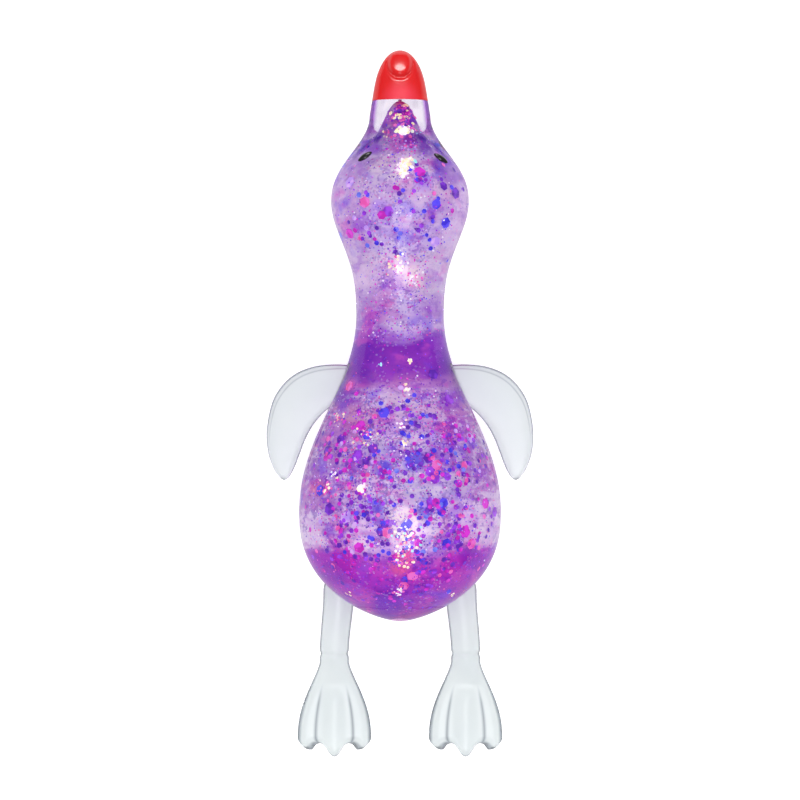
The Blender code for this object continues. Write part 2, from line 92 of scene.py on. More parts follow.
# %% Sizes
beak_low, beak_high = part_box("beak_tip")
NECK_PIVOT = Vector(JOINTS["neck_bend"]["pos_m"])
NECK_Y = NECK_PIVOT.y
TAIL_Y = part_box("body_skin")[0][1]
BILL_TIP_Y = beak_high[1]
BEAK_Y = beak_low[1] - 0.15 * MM
BELLY_Y = -3.0 * MM
CHEEK_Y = NECK_Y + 28.8 * MM
BILL_Y = CHEEK_Y + 21.7 * MM
SKIN_WALL = 2.4 * MM
TAIL_WALL = 3.2 * MM
BODY_SECTION = (25.5 * MM, 21.3 * MM, 20.5 * MM)
NECK_SECTION = (11.1 * MM, 10.8 * MM, NECK_PIVOT.z)
HEAD_SECTION = (17.4 * MM, 14.5 * MM, 21.0 * MM)
BILL_SECTION = (7.7 * MM, 5.5 * MM, 20.0 * MM)
WEDGE_SECTION = (5.0 * MM, 5.5 * MM, 21.0 * MM)
WEDGE_Y = BILL_Y - 4.5 * MM
WEDGE_LENGTH = 8.0 * MM
print("from tail to bill:", round((BILL_TIP_Y - TAIL_Y) / MM, 1), "mm")


# %% The sections
def mix(a, b, share):
    """Each value of a and b, mixed."""
    return tuple(x + (y - x) * share for x, y in zip(a, b))


def ease(share, power=1.0):
    """A smooth step from 0 to 1, held back by a power above 1."""
    return math.sin(0.5 * math.pi * min(max(share, 0.0), 1.0) ** power) ** 2


def hump(distance, width):
    """1 at distance 0, falling off to nothing beyond the width."""
    return math.exp(-((distance / width) ** 2))


def inset(section, wall):
    return (section[0] - wall, section[1] - wall, section[2])


def rump(y, section, end_y):
    """The round end of the body, drawn to a blunt point at the tail."""
    share = min(max((BELLY_Y - y) / (BELLY_Y - end_y), 0.0), 1.0)
    swell = max(1.0 - share**2.4, 0.0) ** 0.66
    return (section[0] * swell, section[1] * swell, section[2] + 0.5 * MM * share**2)


def body_to_cheek(y, wall):
    body, neck, head = (inset(section, wall) for section in (BODY_SECTION, NECK_SECTION, HEAD_SECTION))
    if y < NECK_Y:
        return mix(body, neck, ease((y - BELLY_Y) / (NECK_Y - BELLY_Y), 1.05))
    return mix(neck, head, ease((y - NECK_Y) / (CHEEK_Y - NECK_Y), 1.4))


def outer_section(y):
    """Half width, half height and middle height of the bird's outside at y."""
    if y < BELLY_Y:
        return rump(y, BODY_SECTION, TAIL_Y)
    if y < CHEEK_Y:
        return body_to_cheek(y, 0.0)
    if y < BILL_Y:
        return mix(HEAD_SECTION, BILL_SECTION, ease((y - CHEEK_Y) / (BILL_Y - CHEEK_Y), 1.15))
    share = min((y - BILL_Y) / (BILL_TIP_Y - BILL_Y), 1.0)
    rounding = math.sqrt(max(1.0 - share**6, 0.0))
    half_width = (BILL_SECTION[0] - 2.6 * MM * share) * rounding
    half_height = BILL_SECTION[1] * (1.0 - 0.45 * share) * rounding
    return (half_width, half_height, BILL_SECTION[2] - 1.1 * MM * share)


def hollow_section(y, extra=0.0):
    """The same for the hollow in the skin, made smaller all round by extra."""
    wall = SKIN_WALL + extra
    if y < BELLY_Y:
        return rump(y, inset(BODY_SECTION, wall), TAIL_Y + TAIL_WALL + extra)
    if y < CHEEK_Y:
        return body_to_cheek(y, wall)
    wedge = inset(WEDGE_SECTION, 0.5 * extra)
    if y < WEDGE_Y:
        return mix(inset(HEAD_SECTION, wall), wedge, ease((y - CHEEK_Y) / (WEDGE_Y - CHEEK_Y), 1.15))
    share = min((y - WEDGE_Y) / WEDGE_LENGTH, 1.0)
    half_width, half_height, middle = mix(wedge, (1.9 * MM, 1.8 * MM, 20.0 * MM), share)
    rounding = math.sqrt(max(1.0 - share**5, 0.0))
    return (half_width * rounding, half_height * rounding, middle)


def on_section(section, angle, y):
    """The point at an angle from straight up, turning towards +X."""
    half_width, half_height, middle = section
    return Vector((half_width * math.sin(angle), y, middle + half_height * math.cos(angle)))


# %% [markdown]
# ## A grid wrapped into a closed piece
#
# Most of the pieces are long and round, like a sock. Each starts as a grid from the Add menu. Its vertices
# are then moved to their places: one side of the grid runs round the piece and the other runs along it, and
# the two long edges meet in a seam, which is merged. Working on a grid keeps the quads even, so the clear
# rubber refracts without dents.

# %% Helpers for meshes
def deselect():
    if bpy.context.mode != "OBJECT":
        bpy.ops.object.mode_set(mode="OBJECT")
    bpy.ops.object.select_all(action="DESELECT")


def close_up(piece, distance=0.00001):
    """Merges doubles, closes open ends and turns all faces outwards."""
    deselect()
    bpy.context.view_layer.objects.active = piece
    piece.select_set(True)
    bpy.ops.object.mode_set(mode="EDIT")
    bpy.ops.mesh.select_all(action="SELECT")
    bpy.ops.mesh.remove_doubles(threshold=distance)
    bpy.ops.mesh.select_all(action="DESELECT")
    bpy.ops.mesh.select_non_manifold()
    bpy.ops.mesh.fill_holes(sides=0)
    bpy.ops.mesh.select_all(action="SELECT")
    bpy.ops.mesh.normals_make_consistent(inside=False)
    bpy.ops.object.mode_set(mode="OBJECT")
    bpy.ops.object.shade_smooth()
    piece.select_set(False)


def set_mark(piece, name, value):
    """An attribute that gives each vertex a number for its place."""
    marks = piece.data.attributes.new(name, "FLOAT", "POINT").data
    for index, vertex in enumerate(piece.data.vertices):
        marks[index].value = value(vertex.co)


def wrapped(name, place, around, along, rim=None):
    """A grid whose vertices go to place(angle, share), closed all round. rim marks its rims for painted
    shade, from 0 to 1.
    """
    deselect()
    bpy.ops.mesh.primitive_grid_add(x_subdivisions=around, y_subdivisions=along, size=2.0)
    piece = bpy.context.object
    piece.name = name
    piece.data.name = name
    rims = piece.data.attributes.new("rim", "FLOAT", "POINT")
    for index, vertex in enumerate(piece.data.vertices):
        angle = math.pi * (vertex.co.x + 1.0)
        share = 0.5 * (vertex.co.y + 1.0)
        vertex.co = place(angle, share)
        rims.data[index].value = rim(angle, share) if rim else 0.0
    close_up(piece)
    print(name, "has", len(piece.data.polygons), "faces")
    return piece


# %% [markdown]
# ## Materials
#
# Clear rubber is glass with a low index and a slightly soft surface. It is tinted by absorption, which is
# stronger where light takes a longer way through it, so the skin turns violet towards its edges. The gel
# behind it is an opaque, milky core: bands of colour run across the bird, streaks and blotches break them
# up, and fine glitter is a Voronoi pattern whose every cell is one flake.

# %% Helpers for nodes
def srgb(red, green, blue):
    """A colour from 0 to 255 steps to the linear values that shaders take."""

    def linear(value):
        value /= 255.0
        return value / 12.92 if value <= 0.04045 else ((value + 0.055) / 1.055) ** 2.4

    return (linear(red), linear(green), linear(blue), 1.0)


class Net:
    """The nodes of a material, a group or a world, with short ways to add the usual ones."""

    def __init__(self, tree):
        self.nodes, self.join = tree.nodes, tree.links.new

    def add(self, kind, label="", **settings):
        node = self.nodes.new("ShaderNode" + kind)
        node.label = label
        for key, value in settings.items():
            setattr(node, key, value)
        return node

    def place(self):
        """The place on the piece, in metres."""
        return self.add("TexCoord").outputs["Object"]

    def axes(self):
        """The same, as X, Y and Z."""
        split = self.add("SeparateXYZ")
        self.join(self.place(), split.inputs["Vector"])
        return split.outputs

    def mark(self, name):
        """One of the piece's own attributes."""
        return self.add("Attribute", name, attribute_name=name)

    def fill(self, socket, value):
        """Joins an output to a socket, or sets it to a plain value."""
        if isinstance(value, (int, float, tuple)):
            socket.default_value = value
        elif value is not None:
            self.join(value, socket)

    def math(self, operation, first, second=None, third=None, clamp=False):
        node = self.add("Math", operation=operation, use_clamp=clamp)
        for socket, value in zip(node.inputs, (first, second, third)):
            self.fill(socket, value)
        return node.outputs["Value"]

    def times(self, first, second, clamp=False):
        return self.math("MULTIPLY", first, second, clamp=clamp)

    def remap(self, value, low, high, to_low=0.0, to_high=1.0):
        """A smooth step from low to high."""
        node = self.add("MapRange", interpolation_type="SMOOTHSTEP")
        self.join(value, node.inputs["Value"])
        set_inputs(node, From_Min=low, From_Max=high, To_Min=to_low, To_Max=to_high)
        return node.outputs["Result"]

    def over(self, factor, below, above, mode="MIX"):
        """One colour laid over another by a factor."""
        node = self.add("Mix", data_type="RGBA", blend_type=mode)
        for socket, value in (("Factor", factor), ("A", below), ("B", above)):
            self.fill(node.inputs[socket], value)
        return node.outputs["Result"]

    def distance(self, centre):
        node = self.add("VectorMath", operation="DISTANCE")
        self.join(self.place(), node.inputs[0])
        node.inputs[1].default_value = centre
        return node.outputs["Value"]

    def noise(self, stretch, detail, label, offset=(0.0, 0.0, 0.0)):
        """A noise whose stretch is how fine it is along X, Y and Z, in waves per metre."""
        mapping = set_inputs(self.add("Mapping", label), Scale=stretch, Location=offset)
        self.join(self.place(), mapping.inputs["Vector"])
        texture = set_inputs(self.add("TexNoise", label), Scale=1.0, Detail=detail, Roughness=0.55)
        self.join(mapping.outputs["Vector"], texture.inputs["Vector"])
        return texture.outputs["Fac"]

    def ramp(self, value, stops, interpolation, label):
        """A colour ramp whose stops are (place, colour)."""
        node = self.add("ValToRGB", label)
        ramp = node.color_ramp
        ramp.interpolation = interpolation
        while len(ramp.elements) < len(stops):
            ramp.elements.new(0.5)
        for element, (place, colour) in zip(ramp.elements, stops):
            element.position = place
            element.color = colour
        self.join(value, node.inputs["Fac"])
        return node.outputs["Color"]


def set_inputs(node, **values):
    for key, value in values.items():
        node.inputs[key.replace("_", " ")].default_value = value
    return node


def new_material(name, **values):
    """A material, its nodes and its shader with some plain values."""
    made = bpy.data.materials.new(name)
    made.use_nodes = True
    net = Net(made.node_tree)
    return made, net, set_inputs(net.nodes["Principled BSDF"], **values)


# %% A node group for small unevenness, used by the rubber, the beak and the eyes
def make_surface_group():
    """Soft ripples and fine grain, as a height for a Bump node, and a slow tone that goes from 0 to 1."""
    group = bpy.data.node_groups.new("moulded surface", "ShaderNodeTree")
    for name in ("Ripple Scale", "Grain Scale", "Grain Share"):
        group.interface.new_socket(name=name, in_out="INPUT", socket_type="NodeSocketFloat")
    for name in ("Height", "Tone"):
        group.interface.new_socket(name=name, in_out="OUTPUT", socket_type="NodeSocketFloat")
    net = Net(group)
    source, sink = net.nodes.new("NodeGroupInput"), net.nodes.new("NodeGroupOutput")
    ripple = set_inputs(net.add("TexNoise", "ripple"), Detail=1.5, Roughness=0.4)
    grain = set_inputs(net.add("TexNoise", "grain"), Detail=3.0)
    for node, socket in ((ripple, "Ripple Scale"), (grain, "Grain Scale")):
        net.join(net.place(), node.inputs["Vector"])
        net.join(source.outputs[socket], node.inputs["Scale"])
    blend = net.add("Mix", "ripple and grain", data_type="FLOAT")
    net.join(source.outputs["Grain Share"], blend.inputs["Factor"])
    net.join(ripple.outputs["Fac"], blend.inputs["A"])
    net.join(grain.outputs["Fac"], blend.inputs["B"])
    net.join(blend.outputs["Result"], sink.inputs["Height"])
    net.join(ripple.outputs["Fac"], sink.inputs["Tone"])
    return group


SURFACE = make_surface_group()


def add_surface(net, shader, ripple, grain, share, strength, distance):
    """Places the group in a material, drives its normal with it and hands back the tone."""
    surface = net.add("Group", "moulded surface", node_tree=SURFACE)
    set_inputs(surface, Ripple_Scale=ripple, Grain_Scale=grain, Grain_Share=share)
    bump = set_inputs(net.add("Bump"), Strength=strength, Distance=distance)
    net.join(surface.outputs["Height"], bump.inputs["Height"])
    net.join(bump.outputs["Normal"], shader.inputs["Normal"])
    return surface.outputs["Tone"]


# %% Clear rubber
def clear_rubber(name, tint, tone, absorb, density, roughness, clearness=1.0):
    """Glass-like rubber: tint and tone are its two colours, absorb and density colour what is thick."""
    made, net, shader = new_material(name, Roughness=roughness, IOR=1.42, Transmission_Weight=clearness)
    shade = net.over(add_surface(net, shader, 90.0, 900.0, 0.05, 0.05, 0.0006), tint, tone)
    net.join(shade, shader.inputs["Base Color"])
    volume = set_inputs(net.add("VolumeAbsorption", "thick rubber"), Color=absorb, Density=density)
    net.join(volume.outputs["Volume"], net.nodes["Material Output"].inputs["Volume"])
    return made, net, shader, shade


SKIN_RUBBER, net, shader, shade = clear_rubber(
    "clear skin rubber", srgb(252, 246, 255), srgb(244, 232, 250), srgb(190, 130, 226), 14.0, 0.03
)
PLUG_RUBBER, *_ = clear_rubber(
    "plug rubber", srgb(240, 236, 246), srgb(225, 218, 236), srgb(200, 170, 226), 60.0, 0.12
)

# %% The skin's tints
# The bill is clear beside the wedge, and the violet along its edges is a painted reflection of the gel; the
# tail is pink, and the brows' folds are dark with painted shade.
y = net.axes()["Y"]
patches = net.remap(net.noise((260.0, 130.0, 200.0), 2.0, "clear patches"), 0.38, 0.62)
window = net.over(patches, srgb(216, 218, 222), srgb(240, 244, 242))
# Painted reflection: the bill's edges are coloured violet, as if they mirrored the gel.
painted_gel_reflection = net.over(net.remap(net.mark("flank").outputs["Fac"], 0.72, 0.86), window, srgb(146, 82, 190))
shade = net.over(net.remap(y, 86.0 * MM, 93.0 * MM), shade, painted_gel_reflection)
shade = net.over(net.times(net.remap(y, -26.0 * MM, -30.0 * MM), 0.8), shade, srgb(240, 130, 200))
# Painted shade: the brows' folds are darkened to a deep violet.
shade = net.over(net.mark("brow").outputs["Fac"], shade, srgb(86, 8, 168))
net.join(shade, shader.inputs["Base Color"])

# %% Clear rubber of the limbs
# Their rims are darker with painted shade, standing in for where light takes the longest way, and at a
# wing's root they carry a painted reflection of the gel's violet.
LIMB_RUBBER, net, shader, shade = clear_rubber(
    "clear limb rubber", srgb(240, 245, 244), srgb(230, 236, 238), srgb(206, 214, 218), 34.0, 0.16, 0.60
)
set_inputs(shader, Specular_IOR_Level=0.15)
axes = net.axes()
root = net.remap(net.math("ABSOLUTE", axes["X"]), 20.0 * MM, 15.5 * MM)
root = net.times(root, net.remap(axes["Y"], 31.0 * MM, 33.0 * MM))
# Painted shade on the rims, and a painted reflection of the gel's violet at a wing's root.
painted_rim_shade = net.over(root, srgb(146, 154, 163), srgb(138, 52, 140))
net.join(net.over(net.mark("rim").outputs["Fac"], shade, painted_rim_shade), shader.inputs["Base Color"])
print("rubbers:", SKIN_RUBBER.name, LIMB_RUBBER.name, PLUG_RUBBER.name, sep=", ")


# %% [markdown]
# ### The gel
#
# Colours along the bird are one colour ramp read along Y, from the pink tail to the wedge in the bill. The
# y that is read is shifted by a noise that is stretched across the bird, so that the bands break up into
# drifting streaks. Over them lie blotches of blue and magenta, painted shade at the sides, painted glows
# where light seems to shine through the gel, and the fine glitter.

# %% The gel's bands of colour
# Each band: its place along the bird in millimetres, its colour along the back and its colour at the sides,
# which is mostly darker violet as painted shade.
GEL_BANDS = [
    (-30.6, (214, 90, 170), (206, 84, 176)),
    (-26.0, (146, 20, 180), (158, 50, 190)),
    (-22.0, (166, 52, 198), (176, 44, 192)),
    (-18.0, (196, 50, 198), (152, 8, 192)),
    (-13.5, (216, 104, 208), (176, 30, 196)),
    (-11.5, (224, 180, 238), (196, 130, 212)),
    (-8.0, (250, 222, 250), (208, 168, 220)),
    (-4.0, (218, 186, 236), (188, 138, 208)),
    (2.0, (200, 182, 238), (190, 134, 206)),
    (6.0, (202, 178, 228), (172, 116, 202)),
    (10.0, (178, 134, 222), (190, 148, 206)),
    (14.0, (200, 160, 226), (190, 128, 206)),
    (18.0, (214, 178, 228), (182, 96, 200)),
    (21.0, (196, 146, 216), (200, 138, 200)),
    (24.0, (218, 196, 226), (158, 84, 198)),
    (26.5, (208, 160, 222), (180, 116, 198)),
    (29.0, (190, 112, 194), (150, 70, 194)),
    (32.0, (152, 54, 192), (124, 22, 184)),
    (38.6, (132, 24, 184), (122, 18, 184)),
    (39.4, (176, 128, 212), (136, 60, 194)),
    (42.0, (206, 176, 232), (168, 124, 204)),
    (50.0, (206, 190, 234), (188, 154, 212)),
    (55.0, (238, 208, 244), (204, 178, 218)),
    (62.0, (222, 208, 238), (212, 188, 222)),
    (68.0, (196, 170, 234), (202, 168, 218)),
    (74.0, (204, 184, 232), (194, 160, 214)),
    (82.0, (230, 216, 226), (178, 140, 210)),
    (87.0, (192, 156, 206), (126, 68, 186)),
    (90.5, (172, 112, 186), (142, 84, 188)),
    (94.0, (190, 110, 190), (140, 66, 188)),
    (97.0, (176, 26, 160), (112, 20, 168)),
    (101.0, (220, 36, 150), (184, 34, 160)),
]
# Painted glows: each is a centre and a radius in millimetres and a strength, for a pale patch of light
# painted into the gel.
PAINTED_GLOWS = [
    (Vector((2.5, -8.0, 40.0)), 7.5, 1.0),
    (Vector((-10.5, -8.5, 38.0)), 6.0, 0.9),
    (Vector((1.0, -1.5, 42.0)), 6.0, 0.75),
    (Vector((16.0, -5.0, 34.0)), 4.5, 0.5),
    (Vector((-4.0, 24.0, 36.0)), 5.0, 0.5),
    (Vector((0.5, 83.5, 34.0)), 5.0, 0.9),
    (Vector((1.0, 57.0, 30.0)), 5.5, 0.55),
    (Vector((1.0, 92.8, 27.5)), 2.4, 0.9),
]


# Painted glow: how strongly the gel gives off light in its own colour, and in its painted glows.
PAINTED_INNER_GLOW, PAINTED_GLOW_LIGHT = (0.24, 0.24, 0.24, 1.0), (0.55, 0.44, 0.50, 1.0)
# Fine glitter, from 0 to 1: where each colour begins.
GLITTER_HUES = [
    (0.0, srgb(88, 20, 170)),
    (0.26, srgb(140, 30, 196)),
    (0.50, srgb(196, 30, 180)),
    (0.68, srgb(70, 60, 210)),
    (0.82, srgb(226, 196, 236)),
    (0.93, srgb(250, 240, 248)),
]


def band_stops(column):
    """One column of the bands as stops of a ramp."""
    low, high = GEL_BANDS[0][0], GEL_BANDS[-1][0]
    return [((band[0] - low) / (high - low), srgb(*band[column])) for band in GEL_BANDS]


# %% The gel's material
def make_gel():
    made, net, shader = new_material("violet glitter gel", Roughness=0.45, Specular_IOR_Level=0.25)
    y = net.axes()["Y"]
    side = net.mark("side").outputs["Fac"]

    # The bands: the y that is read drifts, and sags towards the sides.
    drift = net.noise((45.0, 260.0, 45.0), 2.0, "drifting streaks")
    swirl = net.noise((110.0, 160.0, 110.0), 2.5, "swirls", (3.0, 1.0, 2.0))
    in_body = net.remap(y, 36.0 * MM, 26.0 * MM, 0.25, 1.0)
    shift = net.times(net.math("SUBTRACT", drift, 0.5), net.times(in_body, 9.0 * MM))
    sag = net.times(net.math("POWER", side, 2.0), -2.2 * MM)
    drifted = net.math("ADD", net.math("ADD", y, shift), sag)
    share = net.add("MapRange", "along the bird")
    net.join(drifted, share.inputs["Value"])
    set_inputs(share, From_Min=GEL_BANDS[0][0] * MM, From_Max=GEL_BANDS[-1][0] * MM)
    back, flank = (
        net.ramp(share.outputs["Result"], band_stops(column), "LINEAR", label)
        for column, label in ((1, "along the back"), (2, "at the sides"))
    )
    wander = net.times(net.math("SUBTRACT", swirl, 0.5), 1.6)
    # Painted shade: towards the sides the colour turns to the mostly darker colours of the sides.
    colour = net.over(net.remap(net.math("ADD", side, wander), 0.25, 0.85), back, flank)

    # Pale streaks, clear windows and dense places. The tail and the dark band at the shoulders stay calm.
    behind_band = net.remap(y, 29.0 * MM, 25.0 * MM)
    in_head = net.remap(y, 40.0 * MM, 43.0 * MM, 0.0, 0.5)
    lively = net.times(net.remap(y, -13.0 * MM, -10.0 * MM), net.math("ADD", behind_band, in_head))
    streak = net.noise((30.0, 420.0, 30.0), 3.0, "pale streaks", (1.0, 5.0, 9.0))
    pale = net.times(net.times(net.remap(streak, 0.50, 0.64), 0.8), lively)
    colour = net.over(pale, colour, srgb(240, 226, 244))
    window = net.noise((95.0, 190.0, 95.0), 3.0, "clear windows", (4.0, 3.0, 8.0))
    clear = net.times(net.times(net.remap(window, 0.53, 0.60), lively), 0.7)
    colour = net.over(clear, colour, srgb(232, 224, 240))
    colour = net.over(net.times(net.remap(window, 0.45, 0.37), 0.6), colour, srgb(156, 52, 204))

    # Pink swirls, small mottling and blue blotches.
    colour = net.over(net.times(net.remap(swirl, 0.55, 0.66), 0.55), colour, srgb(214, 84, 200))
    mottle = net.noise((480.0, 620.0, 480.0), 3.0, "mottling", (5.0, 6.0, 1.0))
    darker = net.times(net.remap(mottle, 0.44, 0.36), 0.55)
    darker = net.times(darker, net.remap(y, 44.0 * MM, 36.0 * MM, 0.5, 1.0))
    colour = net.over(darker, colour, srgb(112, 16, 184))
    lighter = net.times(net.times(net.remap(mottle, 0.54, 0.64), 0.5), lively)
    colour = net.over(lighter, colour, srgb(236, 230, 240))
    blotch = net.noise((170.0, 170.0, 170.0), 1.5, "blue blotches", (7.0, 2.0, 4.0))
    colour = net.over(net.times(net.remap(blotch, 0.56, 0.70), 0.55), colour, srgb(116, 70, 224))

    # The clouds, with torn edges.
    cloud = net.mark("clouds").outputs
    torn = net.times(cloud["Alpha"], net.remap(window, 0.38, 0.62, 0.6, 1.25), clamp=True)
    colour = net.over(torn, colour, cloud["Color"])

    # Fine glitter: every cell of the pattern is a flake with its own colour.
    cells = set_inputs(net.add("TexVoronoi", "fine glitter"), Scale=2100.0)
    net.join(net.place(), cells.inputs["Vector"])
    cell = net.add("SeparateColor")
    net.join(cells.outputs["Color"], cell.inputs["Color"])
    hues = net.ramp(cell.outputs["Red"], GLITTER_HUES, "CONSTANT", "glitter colours")
    grain = net.noise((230.0, 230.0, 230.0), 2.0, "where glitter gathers", (2.0, 8.0, 5.0))
    crowd = net.remap(grain, 0.38, 0.66, 0.12, 0.62)
    shown = net.math("LESS_THAN", cell.outputs["Green"], crowd)
    shown = net.times(shown, net.remap(side, 0.9, 0.5, 0.1, 0.55))
    shown = net.times(shown, net.math("MULTIPLY_ADD", lively, 0.65, 0.35))
    colour = net.over(shown, colour, hues)

    # Painted glows: soft pale light painted into the gel, as if light shone through it.
    painted_glow = 0.0
    for centre, radius, strength in PAINTED_GLOWS:
        near = net.remap(net.distance(centre * MM), radius * MM, 0.15 * radius * MM, 0.0, strength)
        painted_glow = net.math("MAXIMUM", painted_glow, near)
    painted_glow = net.times(painted_glow, net.remap(swirl, 0.30, 0.62, 1.0, 0.25), clamp=True)
    colour = net.over(painted_glow, colour, srgb(255, 240, 246))
    net.join(colour, shader.inputs["Base Color"])

    # Painted glow: the gel gives off light in its own colour, standing in for light scattered inside it. It
    # is seen, and it doesn't colour the table and the limbs.
    glowing_colour = net.over(1.0, colour, PAINTED_INNER_GLOW, "MULTIPLY")
    net.join(net.over(painted_glow, glowing_colour, PAINTED_GLOW_LIGHT), shader.inputs["Emission Color"])
    set_inputs(shader, Emission_Strength=1.0)
    seen = net.math("SUBTRACT", 1.0, net.add("LightPath").outputs["Is Diffuse Ray"])
    net.join(seen, shader.inputs["Emission Strength"])
    return made


GEL = make_gel()

# %% [markdown]
# ### Glitter
#
# Glitter is punched from metallised film, so each flake is a mirror of one colour. A handful of plain film
# materials is shared by all flakes: the variety comes from which flake has which film, and how it is
# tilted.

# %% Film colours
FILMS = {
    "deep violet": (96, 22, 176),
    "violet": (140, 40, 204),
    "blue": (62, 46, 218),
    "sky": (104, 118, 236),
    "magenta": (196, 20, 184),
    "rose": (238, 90, 178),
    "lilac": (196, 160, 242),
    "silver": (255, 248, 255),
    "gold": (255, 234, 184),
    "mint": (150, 240, 226),
}
# How much light a flake sends back by itself, which stands in for its glints.
GLEAM = 0.3
BRIGHT_GLEAM = 0.55
BRIGHT = ("silver", "gold", "mint")


def make_film(name, colour):
    """A flake's film: one colour, which drifts a little from flake to flake."""
    gleam = BRIGHT_GLEAM if name in BRIGHT else GLEAM
    made, net, shader = new_material("film " + name, Roughness=0.35, Specular_IOR_Level=0.3)
    # Painted glint: the film gives off a little light of its own.
    set_inputs(shader, Emission_Strength=gleam)
    drift = net.noise((700.0, 700.0, 700.0), 0.0, "from flake to flake")
    lighter = tuple(min(255, value + 34) for value in colour)
    shade = net.over(net.remap(drift, 0.35, 0.65), srgb(*colour), srgb(*lighter))
    for socket in ("Base Color", "Emission Color"):
        net.join(shade, shader.inputs[socket])
    return made


FILM = {name: make_film(name, colour) for name, colour in FILMS.items()}
print("films:", ", ".join(FILM))


# %% A flake, and a piece made of flakes
def hexagon():
    """The corners of a flake one unit across, from a circle of the Add menu."""
    deselect()
    bpy.ops.mesh.primitive_circle_add(vertices=6, radius=0.5, fill_type="NGON")
    pattern = bpy.context.object
    corners = [vertex.co.copy() for vertex in pattern.data.vertices]
    bpy.data.objects.remove(pattern)
    return corners


HEXAGON = hexagon()


def flake(draw, y, angle, depth, tilt, sizes):
    """The corners of one flake below the hollow's wall, tilted a little and turned at random."""
    place = on_section(hollow_section(y, depth), angle, y)
    next_y = y + 0.1 * MM
    around = (on_section(hollow_section(y, depth), angle + 0.01, y) - place).normalized()
    along = (on_section(hollow_section(next_y, depth), angle, next_y) - place).normalized()
    normal = around.cross(along).normalized()
    normal = (normal + Vector([draw.gauss(0, tilt) for _ in range(3)])).normalized()
    first = normal.orthogonal().normalized()
    first = Matrix.Rotation(draw.uniform(0, math.tau), 3, normal) @ first
    second = normal.cross(first)
    size = draw.uniform(*sizes)
    return [place + (first * corner.x + second * corner.y) * size for corner in HEXAGON]


def flake_piece(name, flakes, films):
    """One mesh of loose flakes, each with the film of its own."""
    sides = len(HEXAGON)
    mesh = bpy.data.meshes.new(name)
    corners = [corner for one in flakes for corner in one]
    mesh.from_pydata(corners, [], [tuple(range(at, at + sides)) for at in range(0, len(corners), sides)])
    for film in FILM.values():
        mesh.materials.append(film)
    names = list(FILM)
    mesh.polygons.foreach_set("material_index", [names.index(film) for film in films])
    piece = bpy.data.objects.new(name, mesh)
    bpy.context.scene.collection.objects.link(piece)
    print(name, "has", len(flakes), "flakes")
    return piece


def scatter(name, count, seed, sizes, depths, tilt, chance, choose):
    """Loose flakes: chance(y, angle) keeps a flake, choose(draw, y, angle) names its film."""
    draw = random.Random(seed)
    flakes, films = [], []
    start, end = TAIL_Y + TAIL_WALL + 1.5 * MM, WEDGE_Y + 0.7 * WEDGE_LENGTH
    widest = BODY_SECTION[0] - SKIN_WALL
    while len(films) < count:
        y = draw.uniform(start, end)
        angle = draw.uniform(-math.pi, math.pi)
        room = hollow_section(y)[0] / widest
        if draw.random() <= room * chance(y, angle):
            flakes.append(flake(draw, y, angle, draw.uniform(*depths), tilt, sizes))
            films.append(choose(draw, y, angle))
    return flake_piece(name, flakes, films)


# %% [markdown]
# ## The skin and the gel
#
# The skin is one closed surface from the tail to the bill. The gel core lies inside it without an air gap,
# because a gel wets the rubber that holds it: a gap would show as a silvery mirror. The skin of the head
# has two low ridges, from the bill's root past the eyes.

# %% Skin
FOLD_WIDTH, FOLD_HEIGHT = 1.2 * MM, 0.4 * MM


def brow(x, y):
    """From 0 to 1, how near a point is to the fold that arches from the bill's root round each eye."""
    reach = abs(x) / (11.0 * MM)
    arch = 92.2 * MM - 5.4 * MM * reach**2.2
    ends = ease((reach - 0.2) / 0.3) * ease((1.15 - reach) / 0.2)
    return hump(y - arch, FOLD_WIDTH) * ends


def skin_place(angle, share):
    # Ring spacing is finer at both ends, where the outline turns fast.
    eased = 0.5 - 0.5 * math.cos(math.pi * share)
    y = TAIL_Y + (BEAK_Y + 0.4 * MM - TAIL_Y) * (0.6 * share + 0.4 * eased)
    half_width, half_height, middle = outer_section(y)
    if y > BEAK_Y:
        # The last ring lies inside the beak.
        half_width, half_height = 0.96 * half_width, 0.96 * half_height
    point = on_section((half_width, half_height, middle), angle, y)
    if y > CHEEK_Y and point.z > HEAD_SECTION[2]:
        point.z += FOLD_HEIGHT * brow(point.x, y)
    point.z = max(point.z, 0.0)
    return point


skin = wrapped("skin", skin_place, 144, 260)
skin.data.materials.append(SKIN_RUBBER)
set_mark(skin, "brow", lambda at: brow(at.x, at.y) if at.z > HEAD_SECTION[2] else 0.0)
set_mark(skin, "flank", lambda at: abs(at.x) / max(outer_section(at.y)[0], 0.1 * MM))


# %% Gel core
CORE_DEPTH = 0.9 * MM


def gel_place(angle, share):
    eased = 0.5 - 0.5 * math.cos(math.pi * share)
    start = TAIL_Y + TAIL_WALL + CORE_DEPTH
    y = start + (WEDGE_Y + WEDGE_LENGTH - start) * (0.6 * share + 0.4 * eased)
    return on_section(hollow_section(y, CORE_DEPTH), angle, y)


gel = wrapped("gel", gel_place, 144, 260)
gel.data.materials.append(GEL)
set_mark(gel, "side", lambda at: min(abs(at.x) / max(hollow_section(at.y, CORE_DEPTH)[0], 0.1 * MM), 1.0))

# %% Clouds in the gel
BACK_Z = 14.0 * MM  # clouds are laid on the gel above this height
DEEP, VIOLET, HAZE, BLUE = (118, 26, 196), (152, 60, 212), (184, 136, 234), (84, 62, 224)
# The cream clouds are painted glows, laid where light seems to shine through the gel.
MAGENTA, CORAL, CLEAR, PAINTED_GLOW_CREAM = (200, 36, 190), (244, 104, 146), (216, 210, 226), (255, 236, 222)
